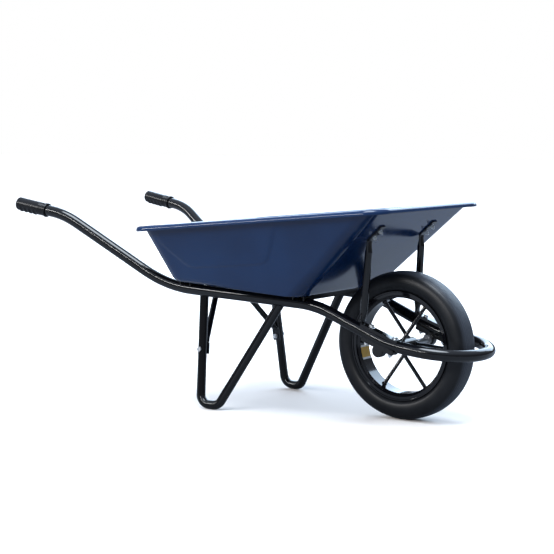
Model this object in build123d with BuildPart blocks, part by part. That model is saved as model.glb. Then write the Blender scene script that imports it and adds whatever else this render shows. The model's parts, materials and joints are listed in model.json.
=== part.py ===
from build123d import *
import os
from math import atan, atan2, cos, radians, sin, sqrt

# A builder's wheelbarrow: a pressed steel tray on a one-piece tube frame that
# runs from the grips, under the tray and round in front of a spoked wheel.
# Millimetres. +X is the direction of travel, +Y the left-hand side, +Z up.
# The origin is on the ground, under the middle of the overall length.
# Places along X named "back" are measured back from the rear edge of the
# wheel; heights named "rise" are measured up from the axle.

os.makedirs("parts", exist_ok=True)

# ---------------------------------------------------------------- driving sizes
# Wheel
wheel_diameter = 400.0
tyre_width = 82.0
tyre_section = 62.0          # radial height of the tyre
tyre_wall = 7.0
tread_extra = 3.0            # thicker than the wall
bead_extra = 3.0
tread_share = 0.66           # of the tyre's half width
crown_drop = 0.5
shoulder_drop = 4.0
widest_share = 0.52          # of the section's height, down from the tread
crown_tangent = (1, -0.06)
foot_tangent = (-0.7, -1)
bead_tangent = (0.3, 1)
bead_gap_side = 0.2          # between the tyre and the rim, as the next
bead_gap = 0.1
tube_gap = 0.4               # between the inner tube and the tyre
tube_fill = 0.86             # of the tyre's hollow, across
inner_tube_wall = 2.0
rim_sheet = 2.5
rim_half_width = 34.0
rim_turn = 1.0               # small steps where the rim's sheet turns
well_half = 22.0
well_depth = 6.5
well_slope = 5.0
flange_height = 8.0
flange_curl = 2.5
flange_clearance = 4.0       # where the tyre's wall leaves the flange
spoke_count = 6
spoke_diameter = 10.5
hub_diameter = 34.0
hub_half_length = 42.0
hub_round = 2.5
spoke_sink = 3.0             # start of a spoke inside the hub, before it is cut
spoke_dish = 30.0            # how far a spoke's inner end stands off the middle
axle_diameter = 16.0
axle_chamfer = 1.5

valve_angle = 168.0          # round the wheel, from straight ahead, upwards
valve_diameter = 8.0
valve_seat_gap = 0.1         # clears the curve of the rim
valve_length = 22.0
valve_cap_length = 9.0
valve_cap_wall = 1.0
label_start = 184.5
label_end = 202.0
label_width = 40.0
label_thickness = 0.5

# Frame tube
tube_diameter = 32.0
tube_wall = 2.0
handle_length = 165.0        # tube end to the bend behind the grips
grip_spacing = 582.0         # centre to centre, as the four below
handle_spacing = 547.0
rear_spacing = 362.0
front_spacing = 294.0
hoop_spacing = 279.0
handle_end_rise = 358.0
handle_bend_rise = 330.0
rear_bend_rise = 133.5
front_bend_rise = 108.6
hoop_bend_rise = 19.0
hoop_front_rise = -5.4
handle_bend_back = 784.0
rear_bend_back = 477.0
front_bend_back = -10.0
hoop_bend_ahead = 30.0       # ahead of the axle
hoop_clearance = 18.0        # tyre tread to the inside of the hoop
handle_bend_radius = 200.0
frame_bend_radius = 300.0
hoop_straight = 4.0          # left at each side of the hoop's two bends

# Tray
floor_length = 434.0
floor_front_width = 440.0
floor_rear_width = 450.0
floor_back = 2.5             # front edge of the floor
front_overhang = 263.0       # how far the front wall reaches ahead of the floor
rear_overhang = 49.0
rim_front_width = 523.0
rim_rear_width = 603.0
front_wall_height = 241.5    # both above the front edge of the floor
rear_wall_height = 173.0
tray_sheet = 1.5
floor_inset = 0.8            # inner outline inside the outer one, at the floor
rim_inset = 2.2              # and at the rim
floor_corner_radius = 42.0
rim_corner_radius = 46.0
floor_edge_radius = 28.0
rim_flange = 19.0
rim_bead_diameter = 9.0

# Cross bars between the rails and the tray, channels open downwards
cross_bar_height = 14.0
cross_bar_lift = 6.5         # top of the bar above the top of the rail
cross_bar_width = 38.0
cross_bar_sheet = 3.0
cross_bar_overlap = 15.0     # past the middle of each rail
front_bar_back = 36.0
rear_bar_margin = 31.0       # bar centre ahead of the floor's rear edge
tray_bolt_spacing = 200.0

# Legs, from tube
leg_diameter = 25.0
leg_wall = 1.8
leg_rear_back = 357.0        # top of the rear leg tube
leg_front_back = 101.0       # top of the front leg tube
foot_rear_back = 341.0
foot_front_back = 282.0
leg_inset = 9.0              # leg top inboard of the rail above it
foot_spread = 204.0          # half the distance between the feet
foot_bend_radius = 28.0
foot_turn = 5.0              # the front leg's foot stands this much further in

# Leg brace
brace_diameter = 17.0
brace_wall = 1.6
brace_bolt_rise = -37.0
brace_flat = 4.0
brace_flat_width = 24.0
brace_bend_radius = 30.0
brace_top_length = 70.0
brace_tab_above = 20.0       # flattened end past the bolt, up the leg
brace_tab_below = 13.0
brace_flare = 5.0            # added to its diameter along the widening

# Front struts
strut_diameter = 20.0
strut_wall = 1.8
strut_flat = 4.0
strut_flat_width = 26.0
strut_foot_u = -66.0         # along the bracket, where the strut rises
strut_wall_share = 0.648     # where it meets the front wall, from the floor up
strut_flare = 30.0           # length over which the flat end becomes round
strut_spacing = 268.0        # at the tray
strut_tab_length = 58.0
strut_bolt_pitch = 24.0
flat_corner = 0.45           # corner of any pressed flat, as a share of its thickness

# Axle bearings
bracket_pitch = 76.0         # between the two bolts
bracket_sag = 1.5            # the rail's bend lifts its middle above the straight run
hoop_slope_share = 0.18      # of the hoop's slope in the bracket's
bracket_end_margin = 14.0    # strip past each bolt
bracket_width = 40.0
strap_width = 26.0           # across, and narrower than the tube above it
strap_bottom = 9.5           # above the axle
housing_radius = 17.5
housing_inner = 17.0         # from the bracket's middle to the face by the wheel
housing_outer = 3.5
housing_round = 5.0
bush_wall = 3.5
bush_length = 17.0
bore_depth = 18.0
axle_end_gap = 1.5
axle_running_clearance = 0.05
collar_radius = 13.0
collar_length = 9.0
collar_gap = 0.6
bracket_strip = 4.0

# Fasteners
bolt_diameter = 8.0
bolt_clearance = 0.4         # on the radius of a bolt hole
nut_across_flats = 13.0
nut_height = 6.5
bolt_head_height = 5.3
bolt_tail = 4.0              # thread showing past a nut
washer_radius = 9.0
washer_thickness = 1.6
small_bolt_diameter = 6.0
small_nut_across_flats = 10.0
small_nut_height = 5.0
small_washer_radius = 6.5
round_head_radius = 1.15     # both as shares of the bolt's diameter
round_head_height = 0.35
round_head_taper = 25.0
head_gap = 0.03              # keeps a bolt head just off the pressed sheet
head_sink = 0.15             # how far a countersunk head lies under the floor

# Grips
grip_length = 108.0
grip_diameter = 38.0
grip_end_cap = 4.0
grip_end_round = 3.5
grip_collar_diameter = 42.0
grip_collar_length = 7.0

# ---------------------------------------------------------------- derived places
wheel_radius = wheel_diameter / 2
tube_radius = tube_diameter / 2
hoop_front = wheel_radius + hoop_clearance + tube_radius
handle_end_back = handle_bend_back + handle_length
overall_front = hoop_front + tube_radius
handle_tilt = atan((handle_end_rise - handle_bend_rise) / handle_length)
grip_end_reach = (
    (grip_end_cap - grip_end_round) * cos(handle_tilt)
    + (grip_diameter / 2 - grip_end_round) * sin(handle_tilt)
    + grip_end_round
)
overall_rear = -(wheel_radius + handle_end_back + grip_end_reach)
axle_x = -(overall_front + overall_rear) / 2


def place(x, y, rise):
    """A point given by its distance ahead of the axle and its rise above it."""
    return Vector(axle_x + x, y, wheel_radius + rise)


def behind(back, y, rise):
    """A point given by its distance back from the rear edge of the wheel."""
    return place(-wheel_radius - back, y, rise)


def tube_path(points, radii):
    with BuildLine() as path:
        FilletPolyline(*points, radius=radii)
    return path.wire()


def swept(path, radius):
    """A round bar of the given radius along a path."""
    with BuildPart() as bar:
        with BuildSketch(Plane(origin=path @ 0, z_dir=path % 0)):
            Circle(radius)
        sweep(path=path)
    return bar.part


def round_tube(path, diameter, wall):
    """A round tube along a path."""
    with BuildPart() as made:
        with BuildSketch(Plane(origin=path @ 0, z_dir=path % 0)):
            Circle(diameter / 2)
            Circle(diameter / 2 - wall, mode=Mode.SUBTRACT)
        sweep(path=path)
    return made.part


def finish_piece(part, name):
    part.label = name
    export_step(part, f"parts/{name}.step")


def mirrored(part):
    """The same piece on the other side of the barrow."""
    return mirror(part, about=Plane.XZ)


def export_pair(right_part, name):
    finish_piece(right_part, f"right_{name}")
    finish_piece(mirrored(right_part), f"left_{name}")


# ---------------------------------------------------------------- frame tube
rail_right = [
    behind(handle_end_back, -grip_spacing / 2, handle_end_rise),
    behind(handle_bend_back, -handle_spacing / 2, handle_bend_rise),
    behind(rear_bend_back, -rear_spacing / 2, rear_bend_rise),
    behind(front_bend_back, -front_spacing / 2, front_bend_rise),
    place(hoop_bend_ahead, -hoop_spacing / 2, hoop_bend_rise),
    place(hoop_front, -hoop_spacing / 2, hoop_front_rise),
]
rail_left = [Vector(p.X, -p.Y, p.Z) for p in reversed(rail_right)]
hoop_radius = hoop_spacing / 2 - hoop_straight
rail_radii = [handle_bend_radius, frame_bend_radius, frame_bend_radius, frame_bend_radius, hoop_radius]
frame_path = tube_path(rail_right + rail_left, rail_radii + rail_radii[::-1])
frame_core = swept(frame_path, tube_radius)


def on_run(start, end, x):
    """The point at x on a straight run of the right-hand rail."""
    share = (x - start.X) / (end.X - start.X)
    return start + (end - start) * share


def rail_under_tray(back):
    """The centre of the right-hand rail under the tray."""
    return on_run(rail_right[2], rail_right[3], axle_x - wheel_radius - back)


# ---------------------------------------------------------------- axle bracket frame
# The bracket lies on a plane tilted with the rail above the axle.
bracket_half = bracket_pitch / 2
descent_start = rail_right[3]
descent_end = rail_right[4]
descent_slope = atan((descent_end.Z - descent_start.Z) / (descent_end.X - descent_start.X))
hoop_slope = atan((hoop_front_rise - hoop_bend_rise) / (hoop_front - hoop_bend_ahead))
bracket_slope = descent_slope + (hoop_slope - descent_slope) * hoop_slope_share
bracket_y = on_run(descent_start, descent_end, axle_x).Y
rail_at_axle = on_run(descent_start, descent_end, axle_x).Z - wheel_radius
rail_offset = rail_at_axle * cos(bracket_slope) + bracket_sag
bracket_plane = Plane(
    origin=place(0, bracket_y, 0),
    x_dir=Vector(cos(bracket_slope), 0, sin(bracket_slope)),
    z_dir=Vector(0, -1, 0),
)


def bracket_point(u, v):
    """A point in the bracket's plane: u along the rail, v away from the axle."""
    return bracket_plane.from_local_coords(Vector(u, v, 0))


bracket_up = bracket_point(0, 1) - bracket_point(0, 0)
strip_top = rail_offset + tube_radius + bracket_strip
strip_front = bracket_half + bracket_end_margin
bracket_bolt_u = [-bracket_half, bracket_half]

# ---------------------------------------------------------------- tray frame
# The floor lies parallel to the rails, on the cross bars.
floor_x = -wheel_radius - floor_back
rail_slope = (rail_right[3].Z - rail_right[2].Z) / (rail_right[3].X - rail_right[2].X)
rail_tilt = atan(rail_slope)
floor_front_rise = (
    rail_under_tray(floor_back).Z - wheel_radius + (tube_radius + cross_bar_lift) / cos(rail_tilt)
)
floor_rear_rise = floor_front_rise - rail_slope * floor_length
wall_top_front = (floor_x + front_overhang, floor_front_rise + front_wall_height)
wall_top_rear = (floor_x - floor_length - rear_overhang, floor_front_rise + rear_wall_height)
rim_tilt = atan2(wall_top_front[1] - wall_top_rear[1], wall_top_front[0] - wall_top_rear[0])
front_wall_tilt = atan2(front_wall_height, front_overhang)


def tray_plane(front_x, front_rise, tilt, lift=0.0):
    """A plane through the front edge of a tray outline, X forward along the tilt."""
    up = Vector(-sin(tilt), 0, cos(tilt))
    return Plane(
        origin=place(front_x, 0, front_rise) + up * lift,
        x_dir=Vector(cos(tilt), 0, sin(tilt)),
        z_dir=up,
    )


def outline_points(length, front_width, rear_width):
    return [
        (0, -front_width / 2),
        (0, front_width / 2),
        (-length, rear_width / 2),
        (-length, -rear_width / 2),
    ]


floor_plane = tray_plane(floor_x, floor_front_rise, rail_tilt)
rim_plane = tray_plane(wall_top_front[0], wall_top_front[1], rim_tilt)
floor_run = floor_length / cos(rail_tilt)
rim_run = (wall_top_front[0] - wall_top_rear[0]) / cos(rim_tilt)
front_wall_plane = tray_plane(floor_x, floor_front_rise, front_wall_tilt)


def outline_face(plane, length, front_width, rear_width, corner, grow=0.0):
    with BuildSketch(plane) as drawn:
        with BuildLine():
            Polyline(*outline_points(length, front_width, rear_width), close=True)
        make_face()
        fillet(drawn.vertices(), corner)
        if grow:
            offset(amount=grow, kind=Kind.ARC)
    return drawn.sketch


floor_face = outline_face(floor_plane, floor_run, floor_front_width, floor_rear_width, floor_corner_radius)
rim_face = outline_face(rim_plane, rim_run, rim_front_width, rim_rear_width, rim_corner_radius)
flange_face = outline_face(
    rim_plane, rim_run, rim_front_width, rim_rear_width, rim_corner_radius, grow=rim_flange
)

floor_inner_plane = tray_plane(floor_x, floor_front_rise, rail_tilt, lift=tray_sheet)
floor_inner_face = outline_face(
    floor_inner_plane, floor_run, floor_front_width, floor_rear_width, floor_corner_radius,
    grow=-floor_inset,
)
rim_inner_face = outline_face(
    rim_plane, rim_run, rim_front_width, rim_rear_width, rim_corner_radius, grow=-rim_inset
)


def tray_block(lower_face, upper_face, edge_radius):
    """A closed block between two outlines, its lower edge rounded."""
    with BuildPart() as block:
        add(lower_face)
        add(upper_face)
        loft(ruled=True)
        fillet(block.faces().sort_by(Axis.Z)[0].edges(), edge_radius)
    return block.part


tray_outer = tray_block(floor_face, rim_face, floor_edge_radius)
tray_hollow = tray_block(floor_inner_face, rim_inner_face, floor_edge_radius - tray_sheet)

# ---------------------------------------------------------------- fastener shapes
def hex_face(plane, across_flats):
    with BuildSketch(plane) as drawn:
        RegularPolygon(across_flats / 2, 6, major_radius=False)
    return drawn.sketch


def hex_bolt(seat, grip, tail, diameter, across_flats, head_height):
    """A hexagon bolt whose head stands on the seat plane and shank runs below it."""
    with BuildPart() as bolt:
        extrude(hex_face(seat, across_flats), amount=head_height)
        with BuildSketch(seat):
            Circle(diameter / 2)
        extrude(amount=-(grip + tail))
    return bolt.part


def round_head_bolt(seat, grip, tail, diameter):
    """A bolt with a low round head, used where the load slides over it."""
    with BuildPart() as bolt:
        with BuildSketch(seat):
            Circle(diameter * round_head_radius)
        extrude(amount=diameter * round_head_height, taper=round_head_taper)
        with BuildSketch(seat):
            Circle(diameter / 2)
        extrude(amount=-(grip + tail))
    return bolt.part


def countersink(seat, diameter, clearance):
    """The cone of a flush head, grown by a clearance, from just above the seat down to the shank."""
    head = diameter + clearance
    with BuildPart() as cone:
        with BuildSketch(seat.offset(clearance)):
            Circle(head + clearance)
        with BuildSketch(seat.offset(-diameter / 2)):
            Circle(diameter / 2 + clearance)
        loft()
    return cone.part


def countersunk_bolt(seat, grip, tail, diameter):
    """A bolt whose flat head lies just under the seat plane, so that a load slides over it."""
    with BuildPart() as bolt:
        with BuildSketch(seat.offset(-head_sink)):
            Circle(diameter - head_sink)
        with BuildSketch(seat.offset(-diameter / 2)):
            Circle(diameter / 2)
        loft()
        with BuildSketch(seat.offset(-diameter / 2)):
            Circle(diameter / 2)
        extrude(amount=diameter / 2 - grip - tail)
    return bolt.part


def nut(seat, diameter, across_flats, height):
    """A hexagon nut that hangs below the seat plane."""
    with BuildPart() as made:
        extrude(hex_face(seat, across_flats), amount=-height)
        with BuildSketch(seat):
            Circle(diameter / 2)
        extrude(amount=-height, mode=Mode.SUBTRACT)
    return made.part


def washer(seat, diameter, radius, thickness):
    """A washer that hangs below the seat plane."""
    with BuildPart() as made:
        with BuildSketch(seat):
            Circle(radius)
            Circle(diameter / 2, mode=Mode.SUBTRACT)
        extrude(amount=-thickness)
    return made.part


def drill(seat, radius, above, below):
    """The solid that a drilled hole removes, across the seat plane."""
    with BuildPart() as hole:
        with BuildSketch(seat.offset(above)):
            Circle(radius)
        extrude(amount=-(above + below))
    return hole.part


def group(parts):
    """Separate solids kept together as one piece."""
    return Compound(children=parts)


def mirrored_plane(seat):
    return Plane(
        origin=(seat.origin.X, -seat.origin.Y, seat.origin.Z),
        x_dir=(seat.x_dir.X, -seat.x_dir.Y, seat.x_dir.Z),
        z_dir=(seat.z_dir.X, -seat.z_dir.Y, seat.z_dir.Z),
    )


def both_sides(seats):
    return seats + [mirrored_plane(seat) for seat in seats]


hole_radius = bolt_diameter / 2 + bolt_clearance
small_hole_radius = small_bolt_diameter / 2 + bolt_clearance

# ---------------------------------------------------------------- bolt seats
# Tray floor bolts: heads inside the tray, nuts under the cross bars.
rear_bar_back = floor_back + floor_length - rear_bar_margin


def floor_seat(back, y, lift=0.0):
    """A plane parallel to the floor, over a place given by its distance back."""
    run = (back - floor_back) / cos(rail_tilt)
    return Plane(
        origin=floor_plane.from_local_coords(Vector(-run, y, lift)),
        x_dir=floor_plane.x_dir,
        z_dir=floor_plane.z_dir,
    )


tray_bolt_places = [
    (back, y)
    for back in (front_bar_back, rear_bar_back)
    for y in (-tray_bolt_spacing / 2, tray_bolt_spacing / 2)
]
floor_seats = [floor_seat(back, y, tray_sheet) for back, y in tray_bolt_places]
bar_seats = [floor_seat(back, y, -cross_bar_sheet) for back, y in tray_bolt_places]
centre_seat = floor_seat(rear_bar_back, 0, tray_sheet)
centre_nut_seat = floor_seat(rear_bar_back, 0, -cross_bar_sheet - brace_diameter)

# Strut bolts: heads inside the tray, nuts under the strut's flattened top.
wall_length = sqrt(front_overhang**2 + front_wall_height**2)
strut_tab_start = wall_length * strut_wall_share
strut_bolt_along = [
    strut_tab_start + strut_tab_length / 2 - strut_bolt_pitch / 2,
    strut_tab_start + strut_tab_length / 2 + strut_bolt_pitch / 2,
]


def wall_seat(along, y, lift=0.0):
    return Plane(
        origin=front_wall_plane.from_local_coords(Vector(along, y, lift)),
        x_dir=front_wall_plane.x_dir,
        z_dir=front_wall_plane.z_dir,
    )


def wall_sheet(along):
    """The thickness of the front wall, which varies a little from floor to rim."""
    floor_angle = front_wall_tilt - rail_tilt
    at_floor = floor_inset * sin(floor_angle) + tray_sheet * cos(floor_angle)
    at_rim = rim_inset * sin(front_wall_tilt - rim_tilt)
    return at_floor + (at_rim - at_floor) * along / wall_length


strut_y = -strut_spacing / 2
strut_seats = both_sides(
    [wall_seat(along, strut_y, wall_sheet(along) + head_gap) for along in strut_bolt_along]
)
strut_nut_seats = both_sides([wall_seat(along, strut_y, -strut_flat) for along in strut_bolt_along])

# Bracket bolts: heads on the strut's foot, nuts under the bearing housing.
bracket_seats = [
    Plane(origin=bracket_point(u, strip_top), x_dir=bracket_plane.x_dir, z_dir=bracket_up)
    for u in bracket_bolt_u
]
bracket_nut_seats = [
    Plane(origin=bracket_point(u, strap_bottom), x_dir=bracket_plane.x_dir, z_dir=bracket_up)
    for u in bracket_bolt_u
]
bracket_grip = strip_top - strap_bottom

# ---------------------------------------------------------------- tray
with BuildPart() as tray:
    add(tray_outer)
    extrude(flange_face, amount=-tray_sheet)
    add(tray_hollow, mode=Mode.SUBTRACT)
    bead_path = flange_face.face().outer_wire()
    with BuildSketch(Plane(origin=bead_path @ 0, z_dir=bead_path % 0)):
        Circle(rim_bead_diameter / 2)
    sweep(path=bead_path)
    for seat in floor_seats + [centre_seat]:
        add(countersink(seat, bolt_diameter, bolt_clearance), mode=Mode.SUBTRACT)
    for seat in strut_seats:
        add(drill(seat, small_hole_radius, 2 * tray_sheet, 4 * tray_sheet), mode=Mode.SUBTRACT)

finish_piece(tray.part, "tray")

# ---------------------------------------------------------------- frame tube
with BuildPart() as frame_tube:
    add(round_tube(frame_path, tube_diameter, tube_wall))
    for seat in both_sides(bracket_seats):
        add(drill(seat, hole_radius, 0, bracket_grip), mode=Mode.SUBTRACT)

finish_piece(frame_tube.part, "frame_tube")


# ---------------------------------------------------------------- cross bars
def cross_bar(back, bolt_ys):
    """A channel across both rails, open side down, its flanges notched over the tubes."""
    half_length = abs(rail_under_tray(back).Y) + cross_bar_overlap
    with BuildPart() as bar:
        with BuildSketch(floor_seat(back, 0)):
            Rectangle(cross_bar_width, 2 * half_length)
        extrude(amount=-cross_bar_height)
        with BuildSketch(floor_seat(back, 0, -cross_bar_sheet)):
            Rectangle(cross_bar_width - 2 * cross_bar_sheet, 2 * half_length)
        extrude(amount=-cross_bar_height, mode=Mode.SUBTRACT)
        add(frame_core, mode=Mode.SUBTRACT)
        for y in bolt_ys:
            seat = floor_seat(back, y, tray_sheet)
            add(countersink(seat, bolt_diameter, bolt_clearance), mode=Mode.SUBTRACT)
            add(drill(seat, hole_radius, 0, tray_sheet + 2 * cross_bar_sheet), mode=Mode.SUBTRACT)
    return bar.part


bar_bolt_ys = [-tray_bolt_spacing / 2, tray_bolt_spacing / 2]
finish_piece(cross_bar(front_bar_back, bar_bolt_ys), "front_cross_bar")
finish_piece(cross_bar(rear_bar_back, bar_bolt_ys + [0]), "rear_cross_bar")

# ---------------------------------------------------------------- legs
leg_radius = leg_diameter / 2
rear_rail_point = rail_under_tray(leg_rear_back)
front_rail_point = rail_under_tray(leg_front_back)
inset = Vector(0, leg_inset, 0)
leg_points = [
    rear_rail_point + inset,
    behind(foot_rear_back, -foot_spread, leg_radius - wheel_radius),
    behind(foot_front_back, -foot_spread + foot_turn, leg_radius - wheel_radius),
    front_rail_point + inset,
]
leg_path = tube_path(leg_points, [foot_bend_radius, foot_bend_radius])
leg_up = (leg_points[0] - leg_points[1]).normalized()
outward = Vector(0, -1, 0)
leg_out = (outward - leg_up * outward.dot(leg_up)).normalized()
bolt_share = (wheel_radius + brace_bolt_rise - leg_points[1].Z) / (leg_points[0].Z - leg_points[1].Z)
leg_bolt_point = leg_points[1] + (leg_points[0] - leg_points[1]) * bolt_share
leg_bolt_seat = Plane(origin=leg_bolt_point + leg_out * leg_radius, x_dir=leg_up, z_dir=leg_out)
leg_nut_seat = Plane(
    origin=leg_bolt_point - leg_out * (leg_radius + brace_flat), x_dir=leg_up, z_dir=leg_out
)

with BuildPart() as right_leg:
    add(round_tube(leg_path, leg_diameter, leg_wall))
    add(frame_core, mode=Mode.SUBTRACT)
    add(drill(leg_bolt_seat, hole_radius, leg_wall, leg_diameter + leg_wall), mode=Mode.SUBTRACT)

export_pair(right_leg.part, "leg")


# ---------------------------------------------------------------- flattened tube ends
def flat_to_round(flat_plane, width, thickness, round_plane, diameter):
    """The stretch of a tube where its pressed flat end opens out to round."""
    with BuildPart() as made:
        with BuildSketch(flat_plane):
            RectangleRounded(width, thickness, thickness * flat_corner)
        with BuildSketch(round_plane):
            Circle(diameter / 2)
        loft()
    return made.part


# ---------------------------------------------------------------- leg brace
brace_top_y = brace_top_length / 2
brace_top_lift = -cross_bar_sheet - brace_diameter / 2
brace_knee = floor_seat(rear_bar_back, -brace_top_y, brace_top_lift).origin
tab_middle = leg_bolt_point - leg_out * (leg_radius + brace_flat / 2)
tab_top = tab_middle + leg_up * brace_tab_above
brace_along = (brace_knee - tab_top).normalized()
brace_start = tab_top + brace_along * (brace_diameter + brace_flare)
tab_side = leg_up.cross(leg_out)
brace_left_knee = Vector(brace_knee.X, -brace_knee.Y, brace_knee.Z)
brace_left_start = Vector(brace_start.X, -brace_start.Y, brace_start.Z)
brace_path = tube_path(
    [brace_start, brace_knee, brace_left_knee, brace_left_start], [brace_bend_radius, brace_bend_radius]
)

with BuildPart() as brace_tab:
    with BuildSketch(Plane(origin=tab_middle - leg_up * brace_tab_below, x_dir=tab_side, z_dir=leg_up)):
        Rectangle(brace_flat_width, brace_flat)
    extrude(amount=brace_tab_below + brace_tab_above)
    bend_mean = (leg_up + brace_along).normalized()
    add(
        flat_to_round(
            Plane(origin=tab_top, x_dir=tab_side, z_dir=bend_mean),
            brace_flat_width,
            brace_flat,
            Plane(origin=brace_start, x_dir=tab_side, z_dir=brace_along),
            brace_diameter,
        )
    )
    add(drill(leg_bolt_seat, hole_radius, 0, leg_diameter + 3 * brace_flat), mode=Mode.SUBTRACT)

with BuildPart() as leg_brace:
    add(round_tube(brace_path, brace_diameter, brace_wall))
    add(brace_tab.part)
    add(mirrored(brace_tab.part))
    add(drill(centre_seat, hole_radius, 0, 2 * brace_diameter), mode=Mode.SUBTRACT)

finish_piece(leg_brace.part, "leg_brace")

# ---------------------------------------------------------------- front struts
strut_foot = bracket_point(strut_foot_u, strip_top - bracket_strip / 2)
strut_knee = wall_seat(strut_tab_start, strut_y, -strut_flat / 2).origin
strut_up = (strut_knee - strut_foot).normalized()
strut_low = strut_foot + strut_up * strut_flare
strut_high = strut_knee - strut_up * strut_flare
strut_side = Vector(0, 1, 0)
foot_bend = (strut_up - bracket_plane.x_dir).normalized()
top_bend = (strut_up + front_wall_plane.x_dir).normalized()

with BuildPart() as strut_strip:
    with BuildSketch(bracket_plane):
        with Locations(((strut_foot_u + strip_front) / 2, strip_top - bracket_strip)):
            Rectangle(strip_front - strut_foot_u, 2 * bracket_strip)
    extrude(amount=strut_flat_width / 2, both=True)
    add(frame_core, mode=Mode.SUBTRACT)

with BuildPart() as right_strut:
    with BuildSketch(Plane(origin=strut_low, z_dir=strut_up)):
        Circle(strut_diameter / 2)
    extrude(amount=(strut_high - strut_low).length)
    add(
        flat_to_round(
            Plane(origin=strut_foot, x_dir=strut_side, z_dir=strut_up),
            strut_flat_width,
            strut_flat,
            Plane(origin=strut_low, x_dir=strut_side, z_dir=strut_up),
            strut_diameter,
        )
    )
    add(
        flat_to_round(
            Plane(origin=strut_knee, x_dir=strut_side, z_dir=top_bend),
            strut_flat_width,
            strut_flat,
            Plane(origin=strut_high, x_dir=strut_side, z_dir=strut_up),
            strut_diameter,
        )
    )
    with BuildSketch(wall_seat(strut_tab_start + strut_tab_length / 2, strut_y)):
        RectangleRounded(strut_tab_length, strut_flat_width, strut_flat)
    extrude(amount=-strut_flat)
    add(strut_strip.part)
    add(tray_outer, mode=Mode.SUBTRACT)
    with BuildSketch(Plane(origin=strut_low, z_dir=strut_up)):
        Circle(strut_diameter / 2 - strut_wall)
    extrude(amount=(strut_high - strut_low).length, mode=Mode.SUBTRACT)
    for seat in strut_seats:
        add(drill(seat, small_hole_radius, 0, 3 * strut_flat), mode=Mode.SUBTRACT)
    for seat in bracket_seats:
        add(drill(seat, hole_radius, bracket_strip, 3 * bracket_strip), mode=Mode.SUBTRACT)

export_pair(right_strut.part, "front_strut")

# ---------------------------------------------------------------- bearing housings
strap_half = bracket_half + nut_across_flats
strap_top = rail_offset - tube_radius / 2
bush_outer = axle_diameter / 2 + axle_running_clearance + bush_wall
inner_side = -housing_inner

with BuildPart() as right_housing:
    with BuildSketch(bracket_plane.offset(inner_side)):
        Circle(housing_radius)
    extrude(amount=housing_inner + housing_outer)
    fillet(right_housing.edges().group_by(Axis.Y)[0], housing_round)
    with BuildSketch(bracket_plane):
        with Locations((0, (strap_top + strap_bottom) / 2)):
            RectangleRounded(2 * strap_half, strap_top - strap_bottom, bracket_strip)
    extrude(amount=strap_width / 2, both=True)
    add(frame_core, mode=Mode.SUBTRACT)
    with BuildSketch(bracket_plane.offset(inner_side)):
        Circle(bush_outer)
    extrude(amount=bore_depth, mode=Mode.SUBTRACT)
    for seat in bracket_nut_seats:
        add(drill(seat, hole_radius, bracket_grip, 1), mode=Mode.SUBTRACT)

export_pair(right_housing.part, "bearing_housing")

with BuildPart() as right_bush:
    with BuildSketch(bracket_plane.offset(inner_side)):
        Circle(bush_outer)
        Circle(bush_outer - bush_wall, mode=Mode.SUBTRACT)
    extrude(amount=bush_length)

export_pair(right_bush.part, "axle_bush")

# ---------------------------------------------------------------- grips
handle_along = (rail_right[1] - rail_right[0]).normalized()
grip_plane = Plane(origin=rail_right[0] - handle_along * grip_end_cap, z_dir=handle_along)

with BuildPart() as right_grip:
    with BuildSketch(grip_plane):
        Circle(grip_diameter / 2)
    extrude(amount=grip_length)
    with BuildSketch(grip_plane.offset(grip_length - grip_collar_length)):
        Circle(grip_collar_diameter / 2)
    extrude(amount=grip_collar_length)
    with BuildSketch(grip_plane.offset(grip_end_cap)):
        Circle(tube_radius)
    extrude(amount=grip_length, mode=Mode.SUBTRACT)
    fillet(right_grip.edges().sort_by(Axis.X)[0], grip_end_round)

export_pair(right_grip.part, "grip")

# ---------------------------------------------------------------- fasteners on the frame
tray_stack = tray_sheet + cross_bar_sheet
nut_tail = nut_height + bolt_tail
finish_piece(
    group([countersunk_bolt(s, tray_stack, nut_tail, bolt_diameter) for s in floor_seats]), "tray_bolts"
)
finish_piece(group([nut(s, bolt_diameter, nut_across_flats, nut_height) for s in bar_seats]), "tray_nuts")

centre_stack = tray_stack + brace_diameter
finish_piece(countersunk_bolt(centre_seat, centre_stack, nut_tail, bolt_diameter), "brace_centre_bolt")
finish_piece(nut(centre_nut_seat, bolt_diameter, nut_across_flats, nut_height), "brace_centre_nut")

leg_stack = leg_diameter + brace_flat
leg_bolt_seats = both_sides([leg_bolt_seat])
leg_nut_seats = both_sides([leg_nut_seat])
finish_piece(
    group([
        hex_bolt(s, leg_stack, nut_tail, bolt_diameter, nut_across_flats, bolt_head_height)
        for s in leg_bolt_seats
    ]),
    "leg_bolts",
)
finish_piece(group([nut(s, bolt_diameter, nut_across_flats, nut_height) for s in leg_nut_seats]), "leg_nuts")

strut_stack = wall_sheet(strut_bolt_along[0]) + strut_flat + washer_thickness
small_tail = small_nut_height + bolt_tail
strut_nut_low = [s.offset(-washer_thickness) for s in strut_nut_seats]
finish_piece(
    group([round_head_bolt(s, strut_stack, small_tail, small_bolt_diameter) for s in strut_seats]),
    "strut_bolts",
)
finish_piece(
    group([washer(s, small_bolt_diameter, small_washer_radius, washer_thickness) for s in strut_nut_seats]),
    "strut_washers",
)
finish_piece(
    group([nut(s, small_bolt_diameter, small_nut_across_flats, small_nut_height) for s in strut_nut_low]),
    "strut_nuts",
)

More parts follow.
